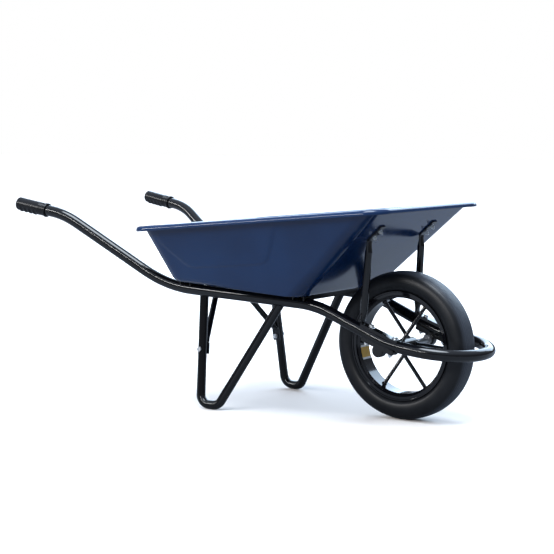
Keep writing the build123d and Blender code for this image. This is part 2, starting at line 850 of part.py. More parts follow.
bracket_stack = bracket_grip + washer_thickness
bracket_washer_seats = both_sides([s.offset(washer_thickness) for s in bracket_seats])
finish_piece(
    group([
        hex_bolt(s, bracket_stack, nut_tail, bolt_diameter, nut_across_flats, bolt_head_height)
        for s in bracket_washer_seats
    ]),
    "bracket_bolts",
)
finish_piece(
    group([washer(s, bolt_diameter, washer_radius, washer_thickness) for s in bracket_washer_seats]),
    "bracket_washers",
)
finish_piece(
    group([nut(s, bolt_diameter, nut_across_flats, nut_height) for s in both_sides(bracket_nut_seats)]),
    "bracket_nuts",
)

# ---------------------------------------------------------------- wheel
wheel_plane = Plane(origin=place(0, 0, 0), x_dir=(0, 1, 0), z_dir=(1, 0, 0))
wheel_axis = Axis(place(0, 0, 0), (0, 1, 0))
bead_seat_radius = wheel_radius - tyre_section
well_inner = bead_seat_radius - rim_sheet - well_depth
seat_inner = bead_seat_radius - rim_sheet
flange_top = bead_seat_radius + flange_height
seat_half = rim_half_width - rim_sheet / 2


def ring_section(half_points):
    """Both halves of a ring's section, from the points on its +Y side."""
    return half_points + [(-y, r) for y, r in reversed(half_points)]


rim_half = [
    (well_half - rim_turn, well_inner + rim_sheet),
    (well_half + well_slope - rim_turn, bead_seat_radius),
    (seat_half - rim_sheet, bead_seat_radius),
    (seat_half - rim_sheet, flange_top),
    (seat_half + flange_curl, flange_top + rim_turn),
    (seat_half + flange_curl, flange_top + rim_turn - flange_curl),
    (seat_half, flange_top - flange_curl),
    (seat_half, seat_inner + rim_turn),
    (seat_half - rim_turn, seat_inner),
    (well_half + well_slope, seat_inner),
    (well_half, well_inner),
]

with BuildPart() as rim:
    with BuildSketch(wheel_plane):
        with BuildLine():
            Polyline(*ring_section(rim_half), close=True)
        make_face()
    revolve(axis=wheel_axis)

finish_piece(rim.part, "rim")

tyre_half_width = tyre_width / 2
bead_y = seat_half - rim_sheet - bead_gap_side
bead_r = bead_seat_radius + bead_gap
bead_inner_y = bead_y - tyre_wall - bead_extra
tread_half = tyre_half_width * tread_share
crown_half = tread_half / 2
crown_edge = wheel_radius - crown_drop
tread_inner = wheel_radius - tyre_wall - tread_extra
widest_r = wheel_radius - tyre_section * widest_share
wall_foot = flange_top + flange_clearance

with BuildPart() as tyre:
    with BuildSketch(wheel_plane):
        with BuildLine():
            Line((0, wheel_radius), (crown_half, crown_edge))
            Spline(
                (crown_half, crown_edge),
                (tread_half, wheel_radius - shoulder_drop),
                (tyre_half_width, widest_r),
                (bead_y, wall_foot),
                tangents=(crown_tangent, foot_tangent),
            )
            Line((bead_y, wall_foot), (bead_y, bead_r))
            Line((bead_y, bead_r), (bead_inner_y, bead_r))
            Spline(
                (bead_inner_y, bead_r),
                (tyre_half_width - tyre_wall, widest_r),
                (crown_half, tread_inner),
                tangents=(bead_tangent, (-crown_tangent[0], -crown_tangent[1])),
            )
            Line((crown_half, tread_inner), (0, tread_inner + crown_drop))
            mirror(about=Plane.YZ)
        make_face()
    revolve(axis=wheel_axis)

finish_piece(tyre.part, "tyre")

cavity_half = tyre_half_width - tyre_wall - tube_gap
cavity_bottom = bead_seat_radius + tube_gap
cavity_top = tread_inner - tube_gap
half_cavity = (cavity_top - cavity_bottom) / 2
tube_half = cavity_half * tube_fill

with BuildPart() as inner_tube:
    with BuildSketch(wheel_plane):
        with Locations((0, (cavity_top + cavity_bottom) / 2)):
            Ellipse(tube_half, half_cavity)
            Ellipse(tube_half - inner_tube_wall, half_cavity - inner_tube_wall, mode=Mode.SUBTRACT)
    revolve(axis=wheel_axis)

finish_piece(inner_tube.part, "inner_tube")

axle_radius = axle_diameter / 2
hub_radius = hub_diameter / 2
side_plane = Plane(origin=place(0, 0, 0), x_dir=(1, 0, 0), z_dir=(0, -1, 0))

with BuildPart() as hub:
    with BuildSketch(side_plane):
        Circle(hub_radius)
        Circle(axle_radius, mode=Mode.SUBTRACT)
    extrude(amount=hub_half_length, both=True)
    fillet(hub.edges().filter_by(GeomType.CIRCLE).sort_by(SortBy.RADIUS)[-2:], hub_round)

finish_piece(hub.part, "hub")

housing_face = abs(bracket_y) - housing_inner
axle_half_length = housing_face + bore_depth - axle_end_gap

with BuildPart() as axle:
    with BuildSketch(side_plane):
        Circle(axle_radius)
    extrude(amount=axle_half_length, both=True)
    chamfer(axle.edges().filter_by(GeomType.CIRCLE), axle_chamfer)

finish_piece(axle.part, "axle")

with BuildPart() as right_collar:
    with BuildSketch(side_plane.offset(housing_face - collar_gap)):
        Circle(collar_radius)
        Circle(axle_radius, mode=Mode.SUBTRACT)
    extrude(amount=-collar_length)

export_pair(right_collar.part, "axle_collar")

with BuildPart() as hub_core:
    with BuildSketch(side_plane):
        Circle(hub_radius)
    extrude(amount=hub_half_length, both=True)


def spoke(number):
    """One spoke, from alternate ends of the hub out to the middle of the rim."""
    angle = radians(360 / spoke_count * number)
    side = 1 if number % 2 == 0 else -1
    outward_dir = Vector(cos(angle), 0, sin(angle))
    inner = place(0, side * spoke_dish, 0) + outward_dir * (hub_radius - spoke_sink)
    outer = place(0, 0, 0) + outward_dir * (well_inner + rim_sheet / 2)
    along = (outer - inner).normalized()
    with BuildPart() as made:
        with BuildSketch(Plane(origin=inner, z_dir=along)):
            Circle(spoke_diameter / 2)
        extrude(amount=(outer - inner).length)
        add(hub_core.part, mode=Mode.SUBTRACT)
        with BuildSketch(side_plane):
            Circle(wheel_radius)
            Circle(well_inner, mode=Mode.SUBTRACT)
        extrude(amount=well_half, both=True, mode=Mode.SUBTRACT)
    return made.part


for number in range(spoke_count):
    finish_piece(spoke(number), f"spoke_{number + 1}")

# ---------------------------------------------------------------- valve and label
valve_out = Vector(cos(radians(valve_angle)), 0, sin(radians(valve_angle)))
valve_seat = Plane(origin=place(0, 0, 0) + valve_out * (well_inner - valve_seat_gap), z_dir=-valve_out)

with BuildPart() as valve_stem:
    with BuildSketch(valve_seat):
        Circle(valve_diameter / 2)
    extrude(amount=valve_length)

finish_piece(valve_stem.part, "valve_stem")

with BuildPart() as valve_cap:
    with BuildSketch(valve_seat.offset(valve_length)):
        Circle(valve_diameter / 2 + valve_cap_wall)
    extrude(amount=valve_cap_length)
    chamfer(valve_cap.faces().sort_by(SortBy.DISTANCE)[0].edges(), valve_cap_wall)

finish_piece(valve_cap.part, "valve_cap")

with BuildPart() as rim_label:
    with BuildSketch(side_plane):
        Circle(well_inner)
        Circle(well_inner - label_thickness, mode=Mode.SUBTRACT)
    extrude(amount=label_width / 2, both=True)
    with BuildSketch(side_plane):
        with BuildLine():
            Polyline(
                (0, 0),
                *[
                    (wheel_radius * cos(radians(a)), wheel_radius * sin(radians(a)))
                    for a in (label_start, label_end)
                ],
                close=True,
            )
        make_face()
    extrude(amount=label_width, both=True, mode=Mode.INTERSECT)

finish_piece(rim_label.part, "rim_label")
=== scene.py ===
# %% [markdown]
# # A builder's wheelbarrow
# The barrow is a pressed steel tray on one long bent tube. The tube is both
# handles, both rails under the tray and the hoop in front of the wheel. The
# engineering model already holds every piece at its real size, so this lesson
# only dresses it: it builds the shapes that a buyer looks at more finely and
# gives every piece a paint, a plating or a rubber.
#
# Lengths are metres. +X is the way the barrow rolls, +Y its left, +Z up.

# %% Load the frame
import json
import math

import bmesh
import bpy
import numpy as np
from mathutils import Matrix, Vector
from mathutils.geometry import delaunay_2d_cdt


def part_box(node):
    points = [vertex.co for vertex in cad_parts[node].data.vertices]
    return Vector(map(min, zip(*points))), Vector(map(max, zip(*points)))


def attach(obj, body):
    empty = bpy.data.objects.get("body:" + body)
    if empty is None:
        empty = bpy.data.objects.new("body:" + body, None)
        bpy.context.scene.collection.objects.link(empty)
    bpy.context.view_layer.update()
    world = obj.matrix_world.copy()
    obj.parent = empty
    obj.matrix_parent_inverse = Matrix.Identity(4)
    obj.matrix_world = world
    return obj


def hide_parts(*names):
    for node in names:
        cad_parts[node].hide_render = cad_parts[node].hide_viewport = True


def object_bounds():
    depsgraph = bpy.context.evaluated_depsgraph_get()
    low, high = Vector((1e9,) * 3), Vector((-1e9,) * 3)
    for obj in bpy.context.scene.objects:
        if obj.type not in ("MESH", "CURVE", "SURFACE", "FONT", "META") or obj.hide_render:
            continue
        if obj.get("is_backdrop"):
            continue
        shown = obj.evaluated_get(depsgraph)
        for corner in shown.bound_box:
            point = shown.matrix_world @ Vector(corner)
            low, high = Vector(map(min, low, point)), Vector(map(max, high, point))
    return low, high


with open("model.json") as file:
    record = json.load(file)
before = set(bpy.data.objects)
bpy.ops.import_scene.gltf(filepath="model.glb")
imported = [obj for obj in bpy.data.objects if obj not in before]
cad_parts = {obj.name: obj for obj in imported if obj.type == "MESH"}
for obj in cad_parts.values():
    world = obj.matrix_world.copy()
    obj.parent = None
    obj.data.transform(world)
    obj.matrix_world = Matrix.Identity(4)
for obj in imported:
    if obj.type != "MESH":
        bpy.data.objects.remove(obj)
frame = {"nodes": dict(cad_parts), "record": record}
cad_box = [list(corner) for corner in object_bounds()]
scene = bpy.context.scene
print("CAD box, metres:", cad_box)

# %% [markdown]
# ## The wheel's centre is the datum
# Every place in this lesson is counted from the axle, because the axle is
# where the frame and the wheel meet. The axle's own box gives it.

# %% Find the axle
axle_low, axle_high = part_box("axle")
axle = (axle_low + axle_high) / 2
wheel_radius = (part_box("tyre")[1].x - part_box("tyre")[0].x) / 2
print("axle at", tuple(round(v, 4) for v in axle), "wheel radius", round(wheel_radius, 4))

# %% [markdown]
# ## Camera
# A long lens far away keeps the tubes straight and the wheel nearly round.
# The camera stands a little above the rim of the tray, so the rim is seen
# almost edge on.

# %% Place the camera
camera_azimuth = math.radians(35.72)
camera_dip = math.radians(5.66)
camera_from_axle = Vector((2.047, -3.437, 0.578))

camera_data = bpy.data.cameras.new("camera")
camera_data.lens = 97.28
camera_data.sensor_width = 36
camera = bpy.data.objects.new("camera", camera_data)
camera.location = axle + camera_from_axle
camera.rotation_euler = (math.radians(90) - camera_dip, 0, camera_azimuth)
scene.collection.objects.link(camera)
scene.camera = camera
print("camera at", tuple(round(v, 3) for v in camera.location))

# %% [markdown]
# ## Floor and light
# Gloss enamel shows its surroundings, so the light is part of the material. A
# broad soft light overhead whitens the floor and every upward face. A long
# narrow strip on the near side draws the thin white line along each tube. A
# wide bluish panel behind the barrow edges every upper surface with light. The
# room round them is dim, so that black enamel stays black. The floor is pale
# to the eye and darker to the reflections, as a floor is that falls off into
# a dim room.

# %% Build the floor, the world and the panels
floor_mesh = bpy.data.meshes.new("floor")
floor_half = 30.0
floor_mesh.from_pydata(
    [(-floor_half, -floor_half, 0), (floor_half, -floor_half, 0),
     (floor_half, floor_half, 0), (-floor_half, floor_half, 0)],
    [],
    [(0, 1, 2, 3)],
)
floor = bpy.data.objects.new("floor", floor_mesh)
floor.location.z = -0.0005
scene.collection.objects.link(floor)
floor_paint = bpy.data.materials.new("pale_floor")
floor_paint.use_nodes = True
floor_shader = floor_paint.node_tree.nodes["Principled BSDF"]
floor_sight = floor_paint.node_tree.nodes.new("ShaderNodeLightPath")
floor_tone = floor_paint.node_tree.nodes.new("ShaderNodeMix")
floor_tone.data_type = "RGBA"
floor_tone.inputs[6].default_value = (0.22, 0.23, 0.25, 1)
floor_tone.inputs[7].default_value = (0.99, 0.93, 0.88, 1)
floor_paint.node_tree.links.new(floor_sight.outputs["Is Camera Ray"], floor_tone.inputs["Factor"])
floor_paint.node_tree.links.new(floor_tone.outputs[2], floor_shader.inputs["Base Color"])
floor_shader.inputs["Roughness"].default_value = 0.9
floor_shader.inputs["Specular IOR Level"].default_value = 0.1
floor_mesh.materials.append(floor_paint)
floor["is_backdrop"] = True

world = bpy.data.worlds.new("studio")
scene.world = world
world.use_nodes = True
room = world.node_tree.nodes["Background"]
backdrop = world.node_tree.nodes.new("ShaderNodeBackground")
backdrop.inputs["Color"].default_value = (1, 1, 1, 1)
direction = world.node_tree.nodes.new("ShaderNodeTexCoord")
height = world.node_tree.nodes.new("ShaderNodeSeparateXYZ")
room_tone = world.node_tree.nodes.new("ShaderNodeValToRGB")
room_tone.color_ramp.elements[0].position = 0.02
room_tone.color_ramp.elements[0].color = (0.13, 0.14, 0.16, 1)
room_tone.color_ramp.elements[1].position = 0.75
room_tone.color_ramp.elements[1].color = (0.62, 0.72, 0.90, 1)
room_tone.color_ramp.elements.new(0.30).color = (0.20, 0.22, 0.26, 1)
sight = world.node_tree.nodes.new("ShaderNodeLightPath")
chosen = world.node_tree.nodes.new("ShaderNodeMixShader")
for start, end in (
    (direction.outputs["Generated"], height.inputs[0]),
    (height.outputs["Z"], room_tone.inputs["Fac"]),
    (room_tone.outputs["Color"], room.inputs["Color"]),
    (sight.outputs["Is Camera Ray"], chosen.inputs[0]),
    (room.outputs[0], chosen.inputs[1]),
    (backdrop.outputs[0], chosen.inputs[2]),
    (chosen.outputs[0], world.node_tree.nodes["World Output"].inputs["Surface"]),
):
    world.node_tree.links.new(start, end)
scene.view_settings.view_transform = "Standard"


def panel(name, location, target, width, height, power):
    """A rectangular soft light aimed at a point."""
    light = bpy.data.lights.new(name, "AREA")
    light.shape = "RECTANGLE"
    light.size = width
    light.size_y = height
    light.energy = power
    lamp = bpy.data.objects.new(name, light)
    lamp.location = location
    aim = Vector(target) - Vector(location)
    lamp.rotation_euler = aim.to_track_quat("-Z", "Y").to_euler()
    scene.collection.objects.link(lamp)
    return lamp


sky_light = bpy.data.lights.new("overhead", "SUN")
sky_light.energy = 3.7
sky_light.angle = math.radians(36)
sky_light.color = (0.82, 0.91, 1.0)
sky = bpy.data.objects.new("overhead", sky_light)
sky.rotation_euler = (math.radians(10), math.radians(8), 0)
scene.collection.objects.link(sky)
panel("near_strip", (-2.0, -4.2, 2.3), (-0.1, 0, 0.4), 8.0, 0.14, 210)
far_sky = panel("far_sky", (-1.2, 5.0, 3.0), (0.1, 0, 0.4), 7.0, 3.4, 400)
far_sky.data.color = (0.62, 0.80, 1.0)
far_sky.visible_camera = False

# %% [markdown]
# ## Building finishes from nodes
# Each finish is a small shader graph. They share a few steps, such as a noise
# that follows the piece, a ramp that turns noise into patches and a bump, so
# those steps are helpers. Patterns follow Object coordinates, and every piece
# sits unturned at the origin, so they keep their real scale and stay put when
# the wheel turns.

# %% Helpers for finishes


class Finish:
    """A material under construction: its shader, and short ways to add nodes."""

    def __init__(self, name, colour, roughness, metallic=0.0, coat=0.0, specular=0.5):
        self.material = bpy.data.materials.new(name)
        self.material.use_nodes = True
        self.tree = self.material.node_tree
        self.shader = self.tree.nodes["Principled BSDF"]
        self.place = self.tree.nodes.new("ShaderNodeTexCoord").outputs["Object"]
        self.shader.inputs["Base Color"].default_value = (*colour, 1)
        self.shader.inputs["Roughness"].default_value = roughness
        self.shader.inputs["Metallic"].default_value = metallic
        self.shader.inputs["Coat Weight"].default_value = coat
        self.shader.inputs["Coat Roughness"].default_value = 0.06
        self.shader.inputs["Specular IOR Level"].default_value = specular

    def link(self, start, end):
        self.tree.links.new(start, end)

    def noise(self, scale, detail=3.0, roughness=0.5, stretch=(1, 1, 1)):
        """Noise at a scale in waves per metre."""
        mapping = self.tree.nodes.new("ShaderNodeMapping")
        mapping.inputs["Scale"].default_value = stretch
        self.link(self.place, mapping.inputs["Vector"])
        node = self.tree.nodes.new("ShaderNodeTexNoise")
        node.inputs["Scale"].default_value = scale
        node.inputs["Detail"].default_value = detail
        node.inputs["Roughness"].default_value = roughness
        self.link(mapping.outputs["Vector"], node.inputs["Vector"])
        return node.outputs["Fac"]

    def ramp(self, value, stops):
        """Turns a value into colours; stops are (position, colour)."""
        node = self.tree.nodes.new("ShaderNodeValToRGB")
        elements = node.color_ramp.elements
        elements[0].position, elements[0].color = stops[0][0], (*stops[0][1], 1)
        elements[1].position, elements[1].color = stops[-1][0], (*stops[-1][1], 1)
        for position, colour in stops[1:-1]:
            elements.new(position).color = (*colour, 1)
        self.link(value, node.inputs["Fac"])
        return node.outputs["Color"]

    def spread(self, value, low, high):
        """Stretches a value from 0..1 to low..high."""
        node = self.tree.nodes.new("ShaderNodeMapRange")
        node.inputs["To Min"].default_value = low
        node.inputs["To Max"].default_value = high
        self.link(value, node.inputs["Value"])
        return node.outputs["Result"]

    def mix(self, share, first, second):
        """Mixes two colours; each is a socket or three numbers."""
        node = self.tree.nodes.new("ShaderNodeMix")
        node.data_type = "RGBA"
        self.link(share, node.inputs["Factor"])
        for value, socket in ((first, node.inputs[6]), (second, node.inputs[7])):
            if isinstance(value, tuple):
                socket.default_value = (*value, 1)
            else:
                self.link(value, socket)
        return node.outputs[2]

    def maths(self, operation, first, second):
        node = self.tree.nodes.new("ShaderNodeMath")
        node.operation = operation
        for value, socket in ((first, node.inputs[0]), (second, node.inputs[1])):
            if isinstance(value, (int, float)):
                socket.default_value = value
            else:
                self.link(value, socket)
        return node.outputs["Value"]

    def bump(self, height, strength, distance, chained=None):
        """Adds fine relief, distance metres deep."""
        node = self.tree.nodes.new("ShaderNodeBump")
        node.inputs["Strength"].default_value = strength
        node.inputs["Distance"].default_value = distance
        self.link(height, node.inputs["Height"])
        if chained is not None:
            self.link(chained, node.inputs["Normal"])
        self.link(node.outputs["Normal"], self.shader.inputs["Normal"])
        return node.outputs["Normal"]

    def colour(self, socket):
        self.link(socket, self.shader.inputs["Base Color"])

    def roughness(self, socket):
        self.link(socket, self.shader.inputs["Roughness"])


print("finish helpers ready")

# %% [markdown]
# ## The tray's blue enamel
# The tray is dipped in stoving enamel: a deep blue under a glassy skin. Close
# up such enamel isn't flat. It has a faint orange peel, slow changes in depth
# where it ran, and a thin film of dust that dulls it in patches.

# %% Mix the tray's enamel
tray_blue = (0.004, 0.028, 0.100)
tray_enamel = Finish("tray_enamel", tray_blue, 0.12)
slow_change = tray_enamel.noise(5.0, detail=2)
tray_enamel.colour(
    tray_enamel.ramp(
        slow_change,
        [(0.3, (0.003, 0.019, 0.070)), (0.7, (0.0045, 0.028, 0.098))],
    )
)
dust = tray_enamel.noise(38.0, detail=6, roughness=0.65)
tray_enamel.roughness(tray_enamel.spread(dust, 0.06, 0.17))
orange_peel = tray_enamel.noise(420.0, detail=1)
slow_waves = tray_enamel.noise(9.0, detail=1)
peel_normal = tray_enamel.bump(orange_peel, 0.05, 0.0006)
tray_enamel.bump(slow_waves, 0.10, 0.004, chained=peel_normal)

# %% [markdown]
# ## Black enamel for the frame
# The tubes are coated in gloss black. It is nearly colourless, so its look
# is the reflection: roughness stays low, with smears that dull it in patches
# and a fine orange peel.

# %% Mix the frame's enamel


def black_enamel(name, colour, low, high):
    finish = Finish(name, colour, low)
    smears = finish.noise(30.0, detail=5, roughness=0.6)
    finish.roughness(finish.spread(smears, low, high))
    patches = finish.noise(11.0, detail=3)
    lighter = tuple(channel * 2.0 for channel in colour)
    finish.colour(finish.ramp(patches, [(0.35, colour), (0.75, lighter)]))
    peel = finish.noise(500.0, detail=1)
    finish.bump(peel, 0.06, 0.0005)
    return finish


frame_enamel = black_enamel("frame_enamel", (0.0025, 0.0025, 0.003), 0.05, 0.15)
wheel_enamel = black_enamel("wheel_enamel", (0.003, 0.003, 0.004), 0.05, 0.14)
bracket_enamel = black_enamel("bracket_enamel", (0.004, 0.004, 0.0045), 0.22, 0.4)
print("three black enamels")

# %% [markdown]
# ## Zinc plate
# Bolts, nuts and washers are zinc plated: a pale metal with a cloudy bloom
# and a faint yellow and blue cast from the passivation.

# %% Mix the zinc plate
zinc_plate = Finish("zinc_plate", (0.62, 0.64, 0.66), 0.3, metallic=1.0)
cloud = zinc_plate.noise(160.0, detail=4)
zinc_plate.colour(
    zinc_plate.ramp(
        cloud,
        [(0.3, (0.66, 0.70, 0.74)), (0.55, (0.82, 0.84, 0.85)), (0.75, (0.86, 0.84, 0.74))],
    )
)
zinc_plate.roughness(zinc_plate.spread(cloud, 0.2, 0.45))
zinc_plate.bump(zinc_plate.noise(900.0, detail=2), 0.1, 0.0002)

bare_steel = Finish("bare_steel", (0.42, 0.42, 0.43), 0.35, metallic=1.0)
turning = bare_steel.noise(60.0, detail=3, stretch=(1, 24, 1))
bare_steel.colour(bare_steel.ramp(turning, [(0.3, (0.30, 0.30, 0.31)), (0.7, (0.50, 0.50, 0.51))]))
bare_steel.roughness(bare_steel.spread(turning, 0.25, 0.5))
print("plated and bare steel")

# %% [markdown]
# ## Rubber
# Three rubbers are used. The tyre is a hard carbon-black compound with a
# satin bloom; its tread is paler, partly from dust and partly from a painted
# sheen. The grips are a softer moulded rubber with a fine grain. The inner tube is hidden.

# %% Mix the rubbers


def rubber(name, colour, dusty, low, high, grain):
    finish = Finish(name, colour, low, specular=0.3)
    bloom = finish.noise(14.0, detail=5, roughness=0.6)
    finish.colour(finish.ramp(bloom, [(0.35, colour), (0.75, dusty)]))
    finish.roughness(finish.spread(bloom, low, high))
    finish.bump(finish.noise(grain, detail=2), 0.12, 0.0004)
    return finish


tyre_rubber = rubber(
    "tyre_rubber", (0.005, 0.0055, 0.007), (0.009, 0.010, 0.012), 0.30, 0.44, 700.0
)
grip_rubber = rubber("grip_rubber", (0.004, 0.004, 0.005), (0.008, 0.008, 0.009), 0.2, 0.32, 900.0)
tube_rubber = rubber("tube_rubber", (0.02, 0.02, 0.02), (0.04, 0.04, 0.04), 0.5, 0.6, 300.0)
bush_nylon = rubber("bush_nylon", (0.03, 0.03, 0.032), (0.05, 0.05, 0.05), 0.4, 0.5, 300.0)
print("rubbers ready")

# %% [markdown]
# ## A dusty tread with a painted sheen
# The tread meets the ground, so a thin pale film of dust settles on it while
# the walls stay dark. The film's grey-blue is also a painted sheen: the
# reflection of the light overhead, painted into the colour all round the tread.
# The film follows the distance from the axle, and fine bars across the tread
# carry more of it than the gaps between them.

# %% Dust the tread and paint its sheen
calc = tyre_rubber.maths
across = tyre_rubber.tree.nodes.new("ShaderNodeSeparateXYZ")
tyre_rubber.link(tyre_rubber.place, across.inputs["Vector"])
ahead = calc("SUBTRACT", across.outputs["X"], axle.x)
above = calc("SUBTRACT", across.outputs["Z"], axle.z)
from_centre = calc("SQRT", calc(
    "ADD", calc("MULTIPLY", ahead, ahead), calc("MULTIPLY", above, above)
), 0.0)
tread_share = calc(
    "DIVIDE", calc("SUBTRACT", from_centre, wheel_radius - 0.0085), 0.0065
)
turn = calc("ARCTAN2", above, ahead)
bars = calc("SINE", calc("MULTIPLY", turn, 420.0), 0.0)
bar_share = tyre_rubber.spread(bars, 0.55, 1.0)
# Pale grey-blue tread colour: part dust, part a painted sheen that stands in for the reflection of
# the overhead light.
dust_and_sheen = calc("MULTIPLY", bar_share, tyre_rubber.ramp(
    tread_share, [(0.0, (0, 0, 0)), (1.0, (1, 1, 1))]))
wall_colour = tyre_rubber.shader.inputs["Base Color"].links[0].from_socket
tyre_rubber.colour(tyre_rubber.mix(dust_and_sheen, wall_colour, (0.060, 0.068, 0.085)))
print("tread film ready")

# %% [markdown]
# ## The rest of the finishes
# The inner tube's valve is brass, its cap is plastic, and a maker sticks a
# plain film label in the rim. Everything else repeats a finish that's already
# mixed.

# %% Mix the small finishes
valve_brass = Finish("valve_brass", (0.55, 0.40, 0.16), 0.35, metallic=1.0)
valve_brass.roughness(valve_brass.spread(valve_brass.noise(300.0), 0.25, 0.45))
valve_plastic = rubber(
    "valve_plastic", (0.012, 0.012, 0.013), (0.02, 0.02, 0.02), 0.35, 0.45, 400.0
)

label_film = Finish("label_film", (0.80, 0.52, 0.08), 0.4, coat=0.2)
label_place = label_film.tree.nodes.new("ShaderNodeSeparateXYZ")
label_film.link(label_film.place, label_place.inputs["Vector"])
label_rise = label_film.maths("SUBTRACT", label_place.outputs["Z"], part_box("rim_label")[0].z)
label_share = label_film.maths(
    "DIVIDE", label_rise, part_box("rim_label")[1].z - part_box("rim_label")[0].z
)
gold, blank = (0.62, 0.36, 0.045), (0.80, 0.80, 0.78)
band = label_film.ramp(
    label_share,
    [(0.12, blank), (0.16, gold), (0.84, gold), (0.88, blank)],
)
label_film.colour(band)
print("label has a gold band and two plain ends")

# %% [markdown]
# ## Helpers for meshes
# A pressed sheet, a grip or a bolt is a stack of rings joined by quads, so one
# helper joins rings. Another reads where a piece of the engineering model
# lies: its middle, the line it runs along and how far it reaches.

# %% Join rings, and read places


def make_object(name, points, faces, material, smooth=True):
    """A mesh object at the origin with its place in its points."""
    mesh = bpy.data.meshes.new(name)
    mesh.from_pydata([tuple(p) for p in points], [], faces)
    mesh.materials.append(material.material)
    mesh.polygons.foreach_set("use_smooth", [smooth] * len(mesh.polygons))
    made = bpy.data.objects.new(name, mesh)
    scene.collection.objects.link(made)
    return made


def face_outward(made):
    """Turns a closed mesh's faces outward."""
    work = bmesh.new()
    work.from_mesh(made.data)
    bmesh.ops.recalc_face_normals(work, faces=work.faces)
    if work.calc_volume(signed=True) < 0:
        bmesh.ops.reverse_faces(work, faces=work.faces)
    work.to_mesh(made.data)
    work.free()


def ring_quads(ring_count, ring_size):
    """Quads that join closed rings, whose points are numbered one ring after another."""
    quads = []
    for ring in range(ring_count - 1):
        for i in range(ring_size):
            j = (i + 1) % ring_size
            low, high = ring * ring_size, (ring + 1) * ring_size
            quads.append((low + i, low + j, high + j, high + i))
    return quads


def loose_parts(node):
    """The separate solids of an engineering node, as arrays of triangles' corners."""
    work = bmesh.new()
    work.from_mesh(frame["nodes"][node].data)
    bmesh.ops.remove_doubles(work, verts=work.verts, dist=1e-6)
    bmesh.ops.triangulate(work, faces=work.faces)
    parts, seen = [], set()
    for start in work.faces:
        if start in seen:
            continue
        seen.add(start)
        queue, island = [start], []
        while queue:
            face = queue.pop()
            island.append([corner.co.copy() for corner in face.verts])
            for edge in face.edges:
                for other in edge.link_faces:
                    if other not in seen:
                        seen.add(other)
                        queue.append(other)
        parts.append(np.array(island))
    work.free()
    return parts


def main_axis(triangles, longest=True):
    """The centre of a solid's surface and the axis it is longest or thinnest along."""
    middles = triangles.mean(axis=1)
    crosses = np.cross(triangles[:, 1] - triangles[:, 0], triangles[:, 2] - triangles[:, 0])
    areas = np.linalg.norm(crosses, axis=1)
    centre = (middles * areas[:, None]).sum(axis=0) / areas.sum()
    spread = np.zeros((3, 3))
    for corners in ((0.5, 0.5, 0), (0, 0.5, 0.5), (0.5, 0, 0.5)):
        points = np.einsum("k,nkd->nd", np.array(corners), triangles) - centre
        spread += (points * areas[:, None]).T @ points
    values, vectors = np.linalg.eigh(spread)
    return Vector(centre), Vector(vectors[:, 2 if longest else 0])


print("the frame has", len(frame["nodes"]), "engineering nodes")

# %% [markdown]
# ## Growing pieces with Geometry Nodes
# Fasteners and spokes repeat, and the tyre follows a rule, so node trees grow
# them. A tree is built here in code with named sizes, run once, and its result
# is kept as a plain mesh, so that no modifier is left on the piece.

# %% Helpers for node trees


class Tree:
    """A geometry node tree with named sizes."""

    def __init__(self, name, sizes):
        self.group = bpy.data.node_groups.new(name, "GeometryNodeTree")
        make_socket = self.group.interface.new_socket
        make_socket("Geometry", in_out="INPUT", socket_type="NodeSocketGeometry")
        make_socket("Geometry", in_out="OUTPUT", socket_type="NodeSocketGeometry")
        self.sizes = {}
        for label, value in sizes.items():
            kind = "NodeSocketInt" if isinstance(value, int) else "NodeSocketFloat"
            socket = make_socket(label, in_out="INPUT", socket_type=kind)
            socket.default_value = value
            self.sizes[label] = (socket.identifier, value)
        self.start = self.add("NodeGroupInput")
        self.end = self.add("NodeGroupOutput")

    def add(self, kind, **settings):
        node = self.group.nodes.new(kind)
        for name, value in settings.items():
            setattr(node, name, value)
        return node

    def join(self, start, end):
        self.group.links.new(start, end)

    def size(self, label):
        return self.start.outputs[label]

    def maths(self, operation, *values):
        node = self.add("ShaderNodeMath", operation=operation)
        for socket, value in zip(node.inputs, values):
            if isinstance(value, (int, float)):
                socket.default_value = value
            else:
                self.join(value, socket)
        return node.outputs[0]

    def position(self):
        """Each point's place, and its three coordinates."""
        where = self.add("GeometryNodeInputPosition")
        split = self.add("ShaderNodeSeparateXYZ")
        self.join(where.outputs[0], split.inputs[0])
        return where.outputs[0], split.outputs["X"], split.outputs["Y"], split.outputs["Z"]

    def move_points(self, geometry, x, y, z):
        """Moves each point to three worked-out coordinates."""
        new = self.add("ShaderNodeCombineXYZ")
        for value, socket in zip((x, y, z), new.inputs):
            self.join(value, socket)
        move = self.add("GeometryNodeSetPosition")
        self.join(geometry, move.inputs["Geometry"])
        self.join(new.outputs[0], move.inputs["Position"])
        return move.outputs[0]

    def cylinder(self, sides, steps, radius, depth):
        """A plain cylinder whose sizes are named sizes or worked-out values."""
        node = self.add("GeometryNodeMeshCylinder")
        node.inputs["Vertices"].default_value = sides
        for value, label in ((steps, "Side Segments"), (radius, "Radius"), (depth, "Depth")):
            self.join(value, node.inputs[label])
        return node.outputs["Mesh"]

    def copies(self, shape):
        """A copy of a shape at each point of the base mesh, turned to its axis."""
        axis = self.add("GeometryNodeInputNamedAttribute", data_type="FLOAT_VECTOR")
        axis.inputs["Name"].default_value = "axis"
        face = self.add("FunctionNodeAlignRotationToVector", axis="Z")
        self.join(axis.outputs["Attribute"], face.inputs["Vector"])
        node = self.add("GeometryNodeInstanceOnPoints")
        self.join(self.start.outputs["Geometry"], node.inputs["Points"])
        self.join(shape, node.inputs["Instance"])
        self.join(face.outputs[0], node.inputs["Rotation"])
        return node.outputs[0]

    def finish(self, geometry, material):
        """Ends the tree with Realize Instances and Set Material."""
        realize = self.add("GeometryNodeRealizeInstances")
        paint = self.add("GeometryNodeSetMaterial")
        paint.inputs["Material"].default_value = material.material
        self.join(geometry, realize.inputs[0])
        self.join(realize.outputs[0], paint.inputs["Geometry"])
        self.join(paint.outputs[0], self.end.inputs[0])


